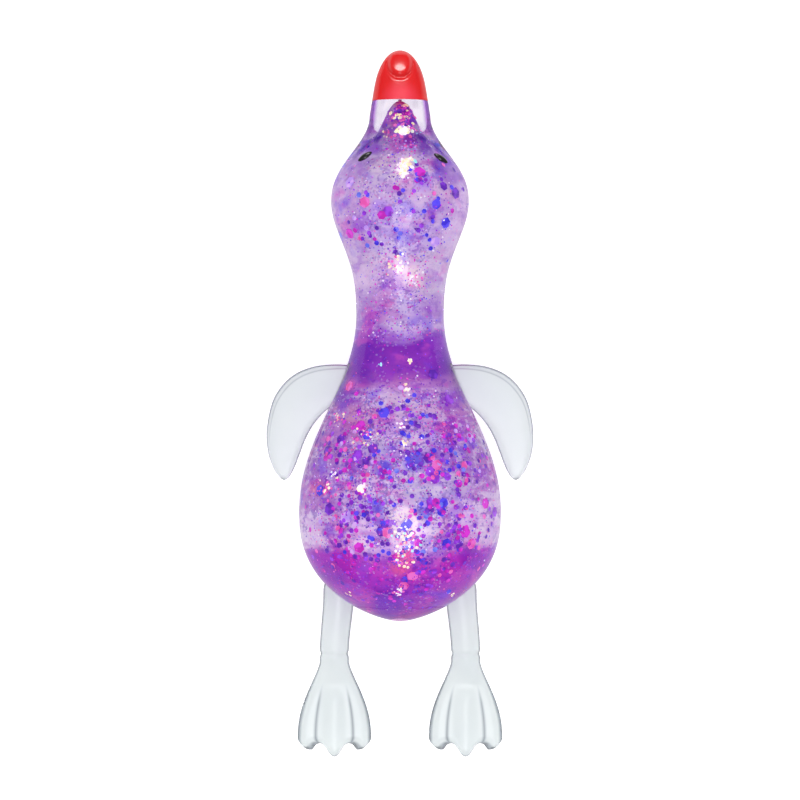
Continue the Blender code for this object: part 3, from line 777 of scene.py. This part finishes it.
# Each cloud: x, y and radius in millimetres, its colour and how dense it is.
CLOUDS = [
    (-13.4, 26.0, 2.6, DEEP, 0.8),
    (9.5, 33.5, 2.6, (112, 16, 178), 0.7),
    (-8.0, 31.0, 2.4, (112, 16, 178), 0.6),
    (-15.0, -16.5, 2.8, (136, 6, 184), 0.7),
    (16.5, -13.0, 2.8, (140, 8, 186), 0.7),
    (-9.7, 19.4, 4.6, (204, 128, 182), 0.6),
    (11.8, 24.5, 2.8, VIOLET, 0.6),
    (12.6, 15.3, 1.6, MAGENTA, 0.8),
    (10.0, 12.4, 3.8, VIOLET, 0.55),
    (3.4, 10.0, 2.8, BLUE, 0.7),
    (-3.8, 8.4, 1.9, BLUE, 0.75),
    (-19.0, 3.0, 1.9, CORAL, 0.8),
    (-6.0, 13.0, 3.2, CLEAR, 0.6),
    (3.6, 3.8, 4.4, CLEAR, 0.75),
    (13.5, 4.5, 3.6, CLEAR, 0.55),
    (5.9, -2.0, 2.4, BLUE, 0.7),
    (-5.5, -0.7, 2.0, BLUE, 0.6),
    # Painted glow over the brightest place of the back.
    (1.3, -5.9, 4.8, PAINTED_GLOW_CREAM, 0.8),
    (14.5, -3.5, 3.4, HAZE, 0.6),
    (10.5, -9.7, 2.2, VIOLET, 0.75),
    (-20.0, -9.0, 2.6, (238, 226, 240), 0.5),
    (19.5, -8.0, 2.6, (238, 226, 240), 0.5),
    (0.0, -14.7, 2.8, CORAL, 0.75),
    (-12.6, -13.8, 3.4, MAGENTA, 0.7),
    (12.5, -16.0, 3.6, MAGENTA, 0.6),
    (-2.5, -24.0, 3.4, DEEP, 0.7),
    (-9.0, -19.0, 3.0, MAGENTA, 0.6),
    (0.5, 24.0, 3.6, (226, 204, 226), 0.7),
    (6.5, 22.0, 3.0, (222, 182, 222), 0.6),
    (-19.5, -14.0, 2.6, (170, 14, 190), 0.6),
    (-1.5, 45.5, 3.4, CLEAR, 0.6),
    (-3.0, 59.5, 3.0, (240, 218, 240), 0.7),
    (5.5, 59.0, 2.6, (230, 208, 234), 0.7),
    (4.0, 76.0, 3.0, (226, 206, 232), 0.7),
    (-3.0, 77.0, 2.6, (216, 186, 230), 0.6),
    # Painted glow on the neck.
    (3.0, 56.0, 3.0, PAINTED_GLOW_CREAM, 0.6),
    (-3.5, 51.0, 2.6, (216, 150, 214), 0.6),
    (6.0, 54.5, 3.0, CLEAR, 0.7),
    (-6.5, 57.0, 3.2, (232, 214, 236), 0.8),
    (6.5, 61.0, 3.6, CLEAR, 0.6),
    (-7.0, 62.5, 3.6, CLEAR, 0.5),
    (1.1, 66.0, 2.2, BLUE, 0.55),
    (-9.4, 69.5, 2.2, VIOLET, 0.6),
    (1.6, 73.3, 1.9, (130, 84, 224), 0.6),
    (7.2, 71.5, 1.5, MAGENTA, 0.45),
    (9.5, 76.5, 3.4, (222, 196, 222), 0.7),
    (-9.0, 76.5, 3.0, (214, 178, 222), 0.6),
    (-4.9, 73.6, 2.0, HAZE, 0.8),
    (-6.5, 79.0, 4.4, CLEAR, 0.6),
    (5.6, 79.1, 2.4, HAZE, 0.7),
    (9.6, 83.4, 2.2, DEEP, 0.9),
    (-0.4, 88.4, 2.4, (176, 70, 190), 0.6),
    (2.6, 90.4, 1.9, (140, 40, 180), 0.8),
    (6.2, 88.6, 1.8, DEEP, 0.7),
    (-6.2, 87.8, 1.8, VIOLET, 0.6),
    (11.6, 80.5, 2.0, (150, 92, 200), 0.6),
    (0.8, 99.5, 2.0, (222, 36, 150), 0.8),
    (2.8, 96.0, 1.8, DEEP, 0.8),
    (-2.6, 96.0, 1.4, (206, 130, 210), 0.7),
]


def clouded(point):
    """The mixed colour of the clouds over a point of the back, and how dense they are there."""
    colour, density = Vector((0.0, 0.0, 0.0)), 0.0
    for x, y, radius, shade, strength in CLOUDS:
        away = math.hypot(point.x / MM - x, point.y / MM - y) / radius
        here = strength * (1.0 - ease((away - 0.55) / 0.75))
        colour += Vector(srgb(*shade)[:3]) * here
        density += here
    return (*(colour / max(density, 1e-6)), min(density, 0.9))


clouds = gel.data.attributes.new("clouds", "FLOAT_COLOR", "POINT")
for index, vertex in enumerate(gel.data.vertices):
    on_back = vertex.co.z > BACK_Z
    clouds.data[index].color = clouded(vertex.co) if on_back else (0.5, 0.5, 0.5, 0.0)
print(len(CLOUDS), "clouds")


# %% [markdown]
# ## Glitter and confetti in the gel
#
# Three sizes float just under the skin. Dust is everywhere, the punched hexagons gather in the body, and
# the sparks are small heaps of pale flakes that catch the light and carry painted glints as well.

# %% Glitter
# Where the punched hexagons gather on the back: x, y and how far each gathering reaches, in millimetres.
GATHERINGS = [(4, 18, 5), (6, 9, 5), (-5, 8, 5), (-13, 14, 6), (-9, -1, 5), (8, -3, 6), (0, -8, 7)]
GATHERINGS += [(3, -15, 8), (-12, -12, 6), (13, -9, 6), (14, 10, 6), (-1, 24, 5)]
GATHERINGS += [(5, 77, 7), (-4, 70, 8), (0, 60, 6)]


def gathered(x, y):
    """From 0 to 1, by how near a point is to one of the gatherings."""
    return max(hump(math.hypot(x - at_x, y - at_y), reach) for at_x, at_y, reach in GATHERINGS)


def across(y, angle):
    """How far a flake lies to the right on the back, in millimetres; the belly counts as the back."""
    return math.sin(angle) * hollow_section(y)[0] / MM


def off_the_sides(angle):
    """Flakes turn edge-on at the sides, and fewer of them cling there."""
    return 1.0 - 0.8 * abs(math.sin(angle)) ** 5


def by_zone(draw, y, angle):
    """Bluer along the middle of the back, more magenta to the sides and at the tail."""
    middle = hump(across(y, angle) - 3.0, 10.0)
    tail = ease((-11.0 * MM - y) / (6.0 * MM))
    weights = {
        "deep violet": 2.0 + 2.0 * middle,
        "violet": 2.4,
        "blue": 4.2 * middle * (1.0 - 0.7 * tail),
        "sky": 0.8 * middle * (1.0 - tail),
        "magenta": 1.0 + 2.4 * (1.0 - middle) + 1.5 * tail,
        "rose": 0.3 + 0.6 * (1.0 - middle),
        "lilac": 0.5 * (1.0 - tail),
    }
    return draw.choices(list(weights), list(weights.values()))[0]


def dust_mix(draw, y, angle):
    names = ["violet", "magenta", "deep violet", "lilac", "rose", "silver", "blue"]
    pale = 0.1 if y < -12 * MM or 28 * MM < y < 40 * MM else 1.0
    return draw.choices(names, [2.6, 2.2, 1.6, 1.6 * pale, 0.8, 0.5 * pale, 0.6])[0]


def dust_chance(y, angle):
    density = 0.5 if y > NECK_Y else 0.8
    band = 1.0 - 0.8 * ease((y - 27.0 * MM) / (3.0 * MM)) * ease((41.0 * MM - y) / (2.0 * MM))
    return density * band * off_the_sides(angle)


def hex_chance(y, angle):
    body = ease((31.0 * MM - y) / (8.0 * MM)) * (1.0 - 0.35 * ease((-13.0 * MM - y) / (6.0 * MM)))
    head = 0.3 * ease((y - 54.0 * MM) / (10.0 * MM)) * (1.0 - ease((y - 84.0 * MM) / (5.0 * MM)))
    crowd = 0.12 + 0.88 * gathered(across(y, angle), y / MM)
    return max(body, head, 0.03) * crowd * off_the_sides(angle)


DUST_SIZES, DUST_DEPTHS = (0.25 * MM, 0.5 * MM), (0.0, 0.75 * MM)
HEX_SIZES, HEX_DEPTHS = (1.05 * MM, 1.45 * MM), (0.05 * MM, 0.7 * MM)
CHIP_SIZES, CHIP_DEPTHS = (2.0 * MM, 3.2 * MM), (0.25 * MM, 0.6 * MM)
dust = scatter("glitter_dust", 7000, 11, DUST_SIZES, DUST_DEPTHS, 0.3, dust_chance, dust_mix)
hexes = scatter("glitter_hexes", 1150, 12, HEX_SIZES, HEX_DEPTHS, 0.12, hex_chance, by_zone)
chips = scatter("glitter_chips", 60, 13, CHIP_SIZES, CHIP_DEPTHS, 0.05, hex_chance, by_zone)

# %% Sparks
# Each heap: x, y, how wide it spreads, how many flakes, how large they are, and its films.
WEDGE_MIX = ("magenta", "deep violet", "violet", "rose", "magenta", "deep violet", "rose", "gold")
SPARKS = [
    (1.2, 83.4, 1.7, 46, 0.8, ("silver", "gold", "gold")),
    (0.9, 81.6, 1.0, 16, 0.7, ("silver", "gold")),
    (3.6, 84.4, 0.35, 6, 0.6, ("mint",)),
    (1.1, 92.9, 0.9, 110, 1.0, ("gold", "silver", "silver")),
    (0.8, 100.2, 0.6, 12, 0.8, ("rose", "gold")),
    (-3.2, 92.2, 1.2, 10, 0.5, ("gold", "rose")),
    (4.4, 92.3, 1.2, 9, 0.5, ("mint", "silver", "rose")),
    (0.9, 96.2, 0.8, 10, 0.7, ("gold", "rose")),
    (1.0, 94.8, 3.2, 100, 0.9, WEDGE_MIX),
    (1.2, 97.8, 2.0, 60, 0.9, WEDGE_MIX),
    (1.0, 88.5, 6.0, 50, 0.5, ("magenta", "violet", "rose", "lilac")),
    (2.1, 34.9, 0.9, 10, 0.5, ("gold", "rose")),
    (-4.8, 33.8, 0.5, 4, 0.5, ("mint",)),
    (1.6, 28.1, 1.0, 12, 0.5, ("gold", "silver")),
    (-14.8, 20.6, 1.2, 18, 0.6, ("gold", "rose", "rose")),
    (-8.0, 16.0, 3.4, 40, 0.5, ("rose", "gold", "magenta")),
    (-9.3, 3.4, 1.1, 24, 0.7, ("gold", "silver")),
    (-18.0, 3.0, 2.0, 26, 0.7, ("rose", "rose", "gold")),
    (-15.8, 6.8, 0.9, 8, 0.5, ("gold", "silver")),
    (1.1, 14.5, 1.0, 10, 0.5, ("silver", "gold")),
    (0.4, 19.0, 1.2, 10, 0.5, ("gold", "silver")),
    (-0.4, -21.5, 1.2, 18, 0.6, ("gold", "silver", "rose")),
    (12.4, -22.1, 0.5, 6, 0.5, ("gold",)),
    (-12.2, -22.1, 0.5, 6, 0.5, ("gold",)),
    (0.8, -13.5, 2.6, 60, 0.6, ("rose", "rose", "gold")),
    (1.5, -9.0, 3.2, 50, 0.6, ("silver", "gold", "rose", "mint")),
    (-0.5, 58.5, 2.6, 34, 0.6, ("rose", "gold", "silver")),
    (3.5, 55.5, 2.0, 22, 0.5, ("rose", "silver")),
]


def heap_sparks():
    """Heaps of small flakes on the back of the bird, with one film chosen for each flake."""
    draw = random.Random(14)
    flakes, films = [], []
    last_y = WEDGE_Y + 0.85 * WEDGE_LENGTH
    for x, y, spread, count, breadth, kinds in SPARKS:
        for _ in range(count):
            at_y = min((y + draw.gauss(0, 0.5 * spread)) * MM, last_y)
            at_x = (x + draw.gauss(0, 0.5 * spread)) * MM
            angle = math.asin(max(-0.97, min(0.97, at_x / hollow_section(at_y)[0])))
            depth = draw.uniform(-0.05, 0.25) * MM
            flakes.append(flake(draw, at_y, angle, depth, 0.12, (0.7 * breadth * MM, 1.4 * breadth * MM)))
            films.append(draw.choice(kinds))
    return flake_piece("glitter_sparks", flakes, films)


sparks = heap_sparks()
for piece in (skin, gel, dust, hexes, chips, sparks):
    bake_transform(piece)
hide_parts("body_skin", "head_skin")
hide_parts("body_gel", "head_gel")

# %% Large confetti, which is already in the frame
PAINTED_HIGHLIGHT_SPOT = Vector((0.8 * MM, -6.3 * MM, 0.0))  # the brightest place of the back
CONFETTI_FILMS = ("blue", "violet", "rose", "deep violet", "lilac", "magenta")
flake_nodes = sorted(name for name in frame["nodes"] if "_flake_" in name)
for index, name in enumerate(flake_nodes):
    node = frame["nodes"][name]
    low, high = (Vector(corner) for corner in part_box(name))
    away = ((low + high) / 2 - PAINTED_HIGHLIGHT_SPOT).xy.length
    # Painted highlight: confetti near the brightest place of the back gets the silver film.
    film = "silver" if away < 3.0 * MM else CONFETTI_FILMS[index % len(CONFETTI_FILMS)]
    node.data.materials.clear()
    node.data.materials.append(FILM[film])
plug = frame["nodes"]["fill_plug"]
plug.data.materials.clear()
plug.data.materials.append(PLUG_RUBBER)
print(len(flake_nodes), "confetti flakes and the fill plug have their finish")


# %% [markdown]
# ## Beak
#
# The beak is dipped in red. It follows the bill's sections, and near its end sits a nail: a low oval shield
# with a groove round its rear edge. It is made like the skin, from a wrapped grid, and the nail is raised
# on its upper side.

# %% Beak material
def make_beak():
    made, net, shader = new_material("red beak rubber", Roughness=0.24, Coat_Weight=0.4, Coat_Roughness=0.08)
    set_inputs(shader, Subsurface_Weight=0.25, Subsurface_Radius=(1.0, 0.25, 0.2), Subsurface_Scale=2.0 * MM)
    base = net.over(
        add_surface(net, shader, 260.0, 1500.0, 0.3, 0.15, 0.0004), srgb(208, 4, 8), srgb(192, 3, 10)
    )
    # The gel's wedge shows through where the red is thin.
    thin = net.remap(net.distance((0.3 * MM, BEAK_Y, 24.0 * MM)), 6.0 * MM, 1.5 * MM, 0.0, 0.6)
    red = net.over(thin, base, srgb(226, 60, 84))
    for socket in ("Base Color", "Emission Color"):
        net.join(red, shader.inputs[socket])
    # Painted glow: the red gives off a faint light of its own.
    set_inputs(shader, Emission_Strength=0.05)
    return made


BEAK_RED = make_beak()


# %% Beak
NAIL = Vector((0.0, BILL_TIP_Y - 3.2 * MM))
NAIL_HALF_WIDTH, NAIL_HALF_LENGTH = 2.7 * MM, 3.4 * MM
NAIL_RISE, NAIL_GROOVE = 0.55 * MM, 0.45 * MM


def beak_place(angle, share):
    # Rings close up towards the tip, where the beak rounds off.
    y = BEAK_Y + (BILL_TIP_Y - BEAK_Y) * math.sin(0.5 * math.pi * share)
    half_width, half_height, middle = outer_section(y)
    slim = 1.0 - 0.10 * ease((y - BEAK_Y) / (BILL_TIP_Y - BEAK_Y), 2.0)
    point = on_section((half_width * slim, half_height, middle), angle, y)
    if math.cos(angle) > 0.0:
        away = math.hypot(point.x / NAIL_HALF_WIDTH, (y - NAIL.y) / NAIL_HALF_LENGTH)
        shield = NAIL_RISE * ease((1.15 - away) / 0.35)
        behind = ease((NAIL.y + 1.0 * MM - y) / (2.0 * MM))
        groove = NAIL_GROOVE * hump(away - 1.22, 0.12) * behind
        fade = ease((BILL_TIP_Y - y) / (1.5 * MM))
        point.z += (shield - groove) * fade * ease(math.cos(angle) * 2.0)
    return point


beak = wrapped("beak", beak_place, 96, 90)
beak.data.materials.append(BEAK_RED)
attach(beak, "head")
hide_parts("beak_tip")


# %% [markdown]
# ## Eyes
#
# Each eye is a glossy black drop, longer than it is wide, let into the skin below the brow. It starts as a
# sphere.

# %% Eyes
def make_eye_black():
    made, net, shader = new_material("black eye lacquer", Roughness=0.12)
    set_inputs(shader, Coat_Weight=0.8, Coat_Roughness=0.03)
    tone = add_surface(net, shader, 700.0, 2500.0, 0.3, 0.08, 0.0002)
    net.join(net.over(tone, srgb(2, 2, 4), srgb(14, 13, 18)), shader.inputs["Base Color"])
    return made


EYE_BLACK = make_eye_black()


def skin_normal(point):
    """The skin's direction outwards near a point, from the sections."""

    def level(x, y):
        half_width, half_height, middle = outer_section(y)
        return middle + half_height * math.sqrt(max(0.0, 1.0 - (x / half_width) ** 2))

    step = 0.1 * MM
    slope_x = (level(point.x + step, point.y) - level(point.x - step, point.y)) / (2 * step)
    slope_y = (level(point.x, point.y + step) - level(point.x, point.y - step)) / (2 * step)
    return Vector((-slope_x, -slope_y, 1.0)).normalized()


EYE_LEAN = math.radians(33.0)
EYE_HALF = Vector((2.05 * MM, 0.86 * MM, 0.7 * MM))
EYE_DEPTH, EYE_RISE = 0.75 * MM, 0.55 * MM
# The head is turned a little, so the eyes don't lie quite evenly.
EYE_SHIFTS = {-1: Vector((1.1 * MM, -0.9 * MM, 0.0)), 1: Vector((0.3 * MM, -1.3 * MM, 0.0))}


def make_eye(name, side):
    low, high = (Vector(corner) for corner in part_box(name))
    centre = (low + high) / 2 + EYE_SHIFTS[side]
    half_width, half_height, middle = outer_section(centre.y)
    centre.z = middle + half_height * math.sqrt(max(0.0, 1.0 - (centre.x / half_width) ** 2)) - EYE_DEPTH
    normal = skin_normal(centre)
    # Seen from above the drop leans by a fixed angle, so its height follows from the skin's slope.
    along = Vector((side * math.cos(EYE_LEAN), -math.sin(EYE_LEAN), 0.0))
    along.z = -(normal.x * along.x + normal.y * along.y) / normal.z
    along.normalize()
    across = normal.cross(along)
    deselect()
    bpy.ops.mesh.primitive_uv_sphere_add(segments=40, ring_count=24, radius=1.0)
    eye = bpy.context.object
    eye.name = name.replace("_eye", "_eye_drop")
    turn = Matrix((along, across, normal)).transposed()
    for vertex in eye.data.vertices:
        # The drop narrows towards both ends, like an almond.
        narrow = 1.0 - 0.35 * vertex.co.x**2
        local = vertex.co * EYE_HALF
        local.y *= narrow
        vertex.co = centre + normal * EYE_RISE + turn @ local
    close_up(eye)
    eye.data.materials.append(EYE_BLACK)
    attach(eye, "head")
    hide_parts(name)
    return eye


eyes = [make_eye("left_eye", -1), make_eye("right_eye", 1)]


# %% [markdown]
# ## Wings
#
# A wing is a flat lobe of clear rubber that grows from the side of the body and curves back. Two edges are
# given, the front one round the outside and the rear one along the body, and the wing is lofted between
# them, with flat faces and a rounded rim. Its root runs into the skin.

# %% Wings
FRONT_EDGE = [(11.0, 34.0), (16.0, 34.3), (21.0, 33.9), (25.5, 32.4), (29.0, 29.8), (31.8, 25.8)]
FRONT_EDGE += [(33.2, 21.0), (33.7, 16.2), (33.2, 11.6), (31.8, 7.8), (30.2, 5.6), (29.2, 5.0)]
REAR_EDGE = [(16.5, 24.5), (19.6, 21.8), (22.0, 18.9), (23.9, 15.4)]
REAR_EDGE += [(25.3, 11.8), (26.6, 8.4), (28.0, 5.9), (29.2, 5.0)]
WING_CORNER = 0.62  # how square the wing's rim is
WING_THICK, WING_THINS = 1.65, 0.45  # half thickness at the root, and how much of it is lost at the tip


def along_edge(edge, share):
    """A point on the smooth curve through an edge's points."""
    place = min(max(share, 0.0), 1.0) * (len(edge) - 1)
    index = min(int(place), len(edge) - 2)
    t = place - index
    before, here = edge[max(index - 1, 0)], edge[index]
    there, after = edge[index + 1], edge[min(index + 2, len(edge) - 1)]

    def curve(a, b, c, d):
        bend = (2 * a - 5 * b + 4 * c - d) * t**2 + (3 * b - a - 3 * c + d) * t**3
        return 0.5 * (2 * b + (c - a) * t + bend)

    return Vector([curve(a, b, c, d) for a, b, c, d in zip(before, here, there, after)])


def squared(angle, corner):
    """A point on a rounded box: corner 1 is a circle, and smaller values are squarer."""
    s, c = math.sin(angle), math.cos(angle)
    return math.copysign(abs(s) ** corner, s), math.copysign(abs(c) ** corner, c)


def wing_place(side, level):
    def place(angle, share):
        front, rear = along_edge(FRONT_EDGE, share), along_edge(REAR_EDGE, share)
        middle, reach = (front + rear) / 2, (front - rear) / 2
        across, up = squared(angle, WING_CORNER)
        thick = (WING_THICK - WING_THINS * share) * min(1.0, reach.length / 1.6)
        point = middle + reach * across
        return Vector((side * point.x * MM, point.y * MM, level + thick * up * MM))

    return place


def wing_rim_shade(angle, share):
    # Painted shade on the wing's rim, and a second dark line just inside it.
    across, up = squared(angle, WING_CORNER)
    edge = ease((abs(across) - 0.90) / 0.08) * (0.25 + 0.75 * ease((0.9 - abs(up)) / 0.3))
    inner_shade_line = 0.5 * hump(across - 0.80, 0.025) * ease((0.75 - share) / 0.3)
    return max(edge, inner_shade_line)


for side, word in ((-1, "left"), (1, "right")):
    joint = JOINTS[word + "_wing_flap"]
    root = Vector(joint["pos_m"])
    wing = wrapped(word + "_wing_lobe", wing_place(side, root.z), 144, 120, wing_rim_shade)
    wing.data.materials.append(LIMB_RUBBER)
    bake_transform(wing)
    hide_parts(word + "_wing")


# %% [markdown]
# ## Legs and feet
#
# A leg is a short rod that leaves the rump, and it runs on into the foot without a seam, apart from a fine
# groove at the ankle. The foot is a web with three toes: the middle one is the longest and stands up like a
# rib, and the web between the toes is thin and scalloped.

# %% A leg with its foot
LEG_RADIUS = 3.9 * MM
ROOT_DEPTH = 5.0 * MM  # how far the root's round end reaches past the hip's axis, into the skin
ANKLE_RADIUS = 3.7 * MM
FOOT_HALF = 9.35 * MM
WEB_REACH = 23.0 * MM
ROOT_LEAN = 1.1 * MM  # how far a leg leans inwards at the hip
ANKLE_GROOVE = 0.28 * MM
WEB_HALF_THICKNESS = 1.75 * MM
MIDDLE_RIB, SIDE_RIB = 0.9 * MM, 0.45 * MM
UNDER_RIB = -0.35  # the ribs' share on the underside, where they are hollows
TOE_ROUNDING = 2.2 * MM
# Each toe: where its tip is across the foot, how much longer than the web it is and how broad its tip is.
TOES = ((0.0, 3.4, 0.19), (-0.84, 1.6, 0.17), (0.84, 1.6, 0.17))


def limb_half_width(along, ankle_along):
    """Half width at a distance from the hip: the rod narrows a little, and the web then widens."""
    rod = LEG_RADIUS + (ANKLE_RADIUS - LEG_RADIUS) * ease(along / ankle_along)
    return rod + (FOOT_HALF - rod) * ease((along - ankle_along - 2.0 * MM) / (19.0 * MM), 0.72)


def limb_place(hip, ankle):
    ankle_along = hip.y - ankle.y

    def place(angle, share):
        across, up = math.sin(angle), math.cos(angle)
        reach = WEB_REACH
        for toe, longer, width in TOES:
            reach += longer * MM * hump(across - toe, width)
        length = ROOT_DEPTH + ankle_along + reach
        eased = 0.5 - 0.5 * math.cos(math.pi * share)
        run = 0.4 * share + 0.6 * eased
        along = length * run - ROOT_DEPTH
        past = along - ankle_along
        hip_end = math.sqrt(max(0.0, 1.0 - max(0.0, -along / ROOT_DEPTH) ** 2))
        toe_end = math.sqrt(max(0.0, 1.0 - max(0.0, 1.0 - length * (1.0 - run) / TOE_ROUNDING) ** 2))
        ends = hip_end * toe_end
        flat = ease(past / (9.0 * MM))
        across_web, up_web = squared(angle, 1.0 - 0.22 * flat)
        half = limb_half_width(max(along, 0.0), ankle_along)
        x = half * across_web * (hip_end if along < 0 else 0.72 + 0.28 * toe_end)
        rod = LEG_RADIUS + (ANKLE_RADIUS - LEG_RADIUS) * ease(along / ankle_along)
        groove = ANKLE_GROOVE * hump(past, 0.55 * MM)
        thick = 0.95 * (rod - groove) + (WEB_HALF_THICKNESS - 0.95 * rod) * flat
        x -= groove * across
        x -= math.copysign(ROOT_LEAN, hip.x) * ease(1.0 - along / ankle_along)
        rib = MIDDLE_RIB * hump(x, 1.9 * MM) * ease((past - 7.0 * MM) / (6.0 * MM))
        for toe_x in (-0.78 * half, 0.78 * half):
            rib += SIDE_RIB * hump(x - toe_x, 1.5 * MM) * ease((past - 6.0 * MM) / (8.0 * MM))
        height = thick * up_web + rib * (1.0 if up > 0 else UNDER_RIB) * abs(up) ** 0.5
        drop = 0.8 * MM * ease(past / (16.0 * MM))
        return Vector((hip.x + x, hip.y - along, hip.z - drop + height * ends))

    return place


def limb_rim_shade(angle, share):
    """Painted shade, from 0 to 1: the outline seen from above, the scalloped end and the creases between the
    toes.
    """
    across = math.sin(angle)
    edge = ease((abs(across) - 0.84) / 0.12)
    toes_end = ease((share - 0.955) / 0.03)
    crease = hump(abs(across) - 0.42, 0.045)
    return max(0.9 * edge, 0.6 * toes_end, 0.9 * crease * ease((share - 0.60) / 0.12))


for side, word in ((-1, "left"), (1, "right")):
    hip = Vector(JOINTS[word + "_hip_swing"]["pos_m"])
    ankle = Vector(JOINTS[word + "_ankle_bend"]["pos_m"])
    limb = wrapped(word + "_leg_and_foot", limb_place(hip, ankle), 144, 190, limb_rim_shade)
    limb.data.materials.append(LIMB_RUBBER)
    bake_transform(limb)
    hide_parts(word + "_leg", word + "_foot")


# %% [markdown]
# ## Floor, light and camera
#
# The toy lies on a pale, evenly lit table. The light is soft and comes from all round, with one large
# softbox for the gloss, and the camera looks straight down through a long lens, so the shape is hardly
# foreshortened.

# %% Floor
def mirror_ray(net):
    """1 for a ray that was reflected, and 0 for one that came through clear rubber or from the camera."""
    path = net.add("LightPath").outputs
    return net.math("SUBTRACT", path["Is Glossy Ray"], path["Is Transmission Ray"], clamp=True)


deselect()
bpy.ops.mesh.primitive_plane_add(size=6.0, location=(0.0, 0.0, -0.0001))
floor = bpy.context.object
floor.name = "floor"
TABLE, net, shader = new_material("pale table", Roughness=0.8, Specular_IOR_Level=0.1)
# The table glows softly, so that the clear rubber is lit from below. Reflections see less of that, as the
# world's.
FLOOR_GLOW, FLOOR_MIRRORED = 0.55, 0.25
FLOOR_SHADE, FLOOR_MIRRORED_SHADE = 0.86, 0.45
mirrored = mirror_ray(net)
net.join(net.remap(mirrored, 0.0, 1.0, FLOOR_GLOW, FLOOR_MIRRORED), shader.inputs["Emission Strength"])
net.join(net.remap(mirrored, 0.0, 1.0, FLOOR_SHADE, FLOOR_MIRRORED_SHADE), shader.inputs["Base Color"])
set_inputs(shader, Emission_Color=(1.0, 1.0, 1.0, 1.0))
floor.data.materials.append(TABLE)
floor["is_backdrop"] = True
print("the table is", floor.dimensions.x, "m wide")

# %% Light
ZENITH, HORIZON = 0.95, 0.45
MIRRORED = 0.30  # the share of the world's light that reflections see

world = bpy.data.worlds.new("studio")
world.use_nodes = True
net = Net(world.node_tree)
background = net.nodes["Background"]
height = net.add("SeparateXYZ")
net.join(net.add("TexCoord").outputs["Generated"], height.inputs["Vector"])
sky = net.remap(height.outputs["Z"], 0.0, 0.5, HORIZON, ZENITH)
seen = net.remap(mirror_ray(net), 0.0, 1.0, 1.0, MIRRORED)
net.join(net.times(sky, seen), background.inputs["Strength"])
set_inputs(background, Color=(1.0, 1.0, 1.0, 1.0))
bpy.context.scene.world = world


def softbox(name, place, size, power):
    deselect()
    bpy.ops.object.light_add(type="AREA", location=place)
    lamp = bpy.context.object
    lamp.name = name
    lamp.data.shape = "ELLIPSE"
    lamp.data.size = size[0]
    lamp.data.size_y = size[1]
    lamp.data.energy = power
    aim = Vector((0.0, 0.02, 0.02)) - Vector(place)
    lamp.rotation_euler = aim.to_track_quat("-Z", "Y").to_euler()
    return lamp


softbox("overhead_softbox", (0.04, -0.17, 0.80), (0.42, 0.42), 1.5)
# A small lamp in front puts the highlights on the beak's nail and on the eyes. It lights nothing else.
glint = softbox("glint_lamp", (0.0, 0.66, 0.60), (0.56, 0.12), 2.6)
glossy_pieces = bpy.data.collections.new("glossy pieces")
for piece in (beak, *eyes):
    glossy_pieces.objects.link(piece)
glint.light_linking.receiver_collection = glossy_pieces

# %% Camera
FIELD = 202.2 * MM  # what the picture takes in at the height of the bird's widest outline
LENS = 135.0
SENSOR = 36.0
OUTLINE_Z = 20.0 * MM
distance = FIELD * LENS / SENSOR
bpy.ops.object.camera_add(location=(0.0, 25.3 * MM, OUTLINE_Z + distance), rotation=(0.0, 0.0, 0.0))
camera = bpy.context.object
camera.data.lens = LENS
camera.data.sensor_width = SENSOR
camera.data.clip_start = 0.01
bpy.context.scene.camera = camera
bpy.context.scene.view_settings.view_transform = "Standard"
print("camera", round(distance, 3), "m above the bird")

# %% The size of the visual model, and the end
low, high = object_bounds()
sizes = {"cad": [list(cad_low), list(cad_high)], "visual": [list(low), list(high)]}
{key: [[float(v) for v in corner] for corner in box] for key, box in sizes.items()}
print("visual model", [round(float(v) * 1000, 1) for v in high - low], "mm")
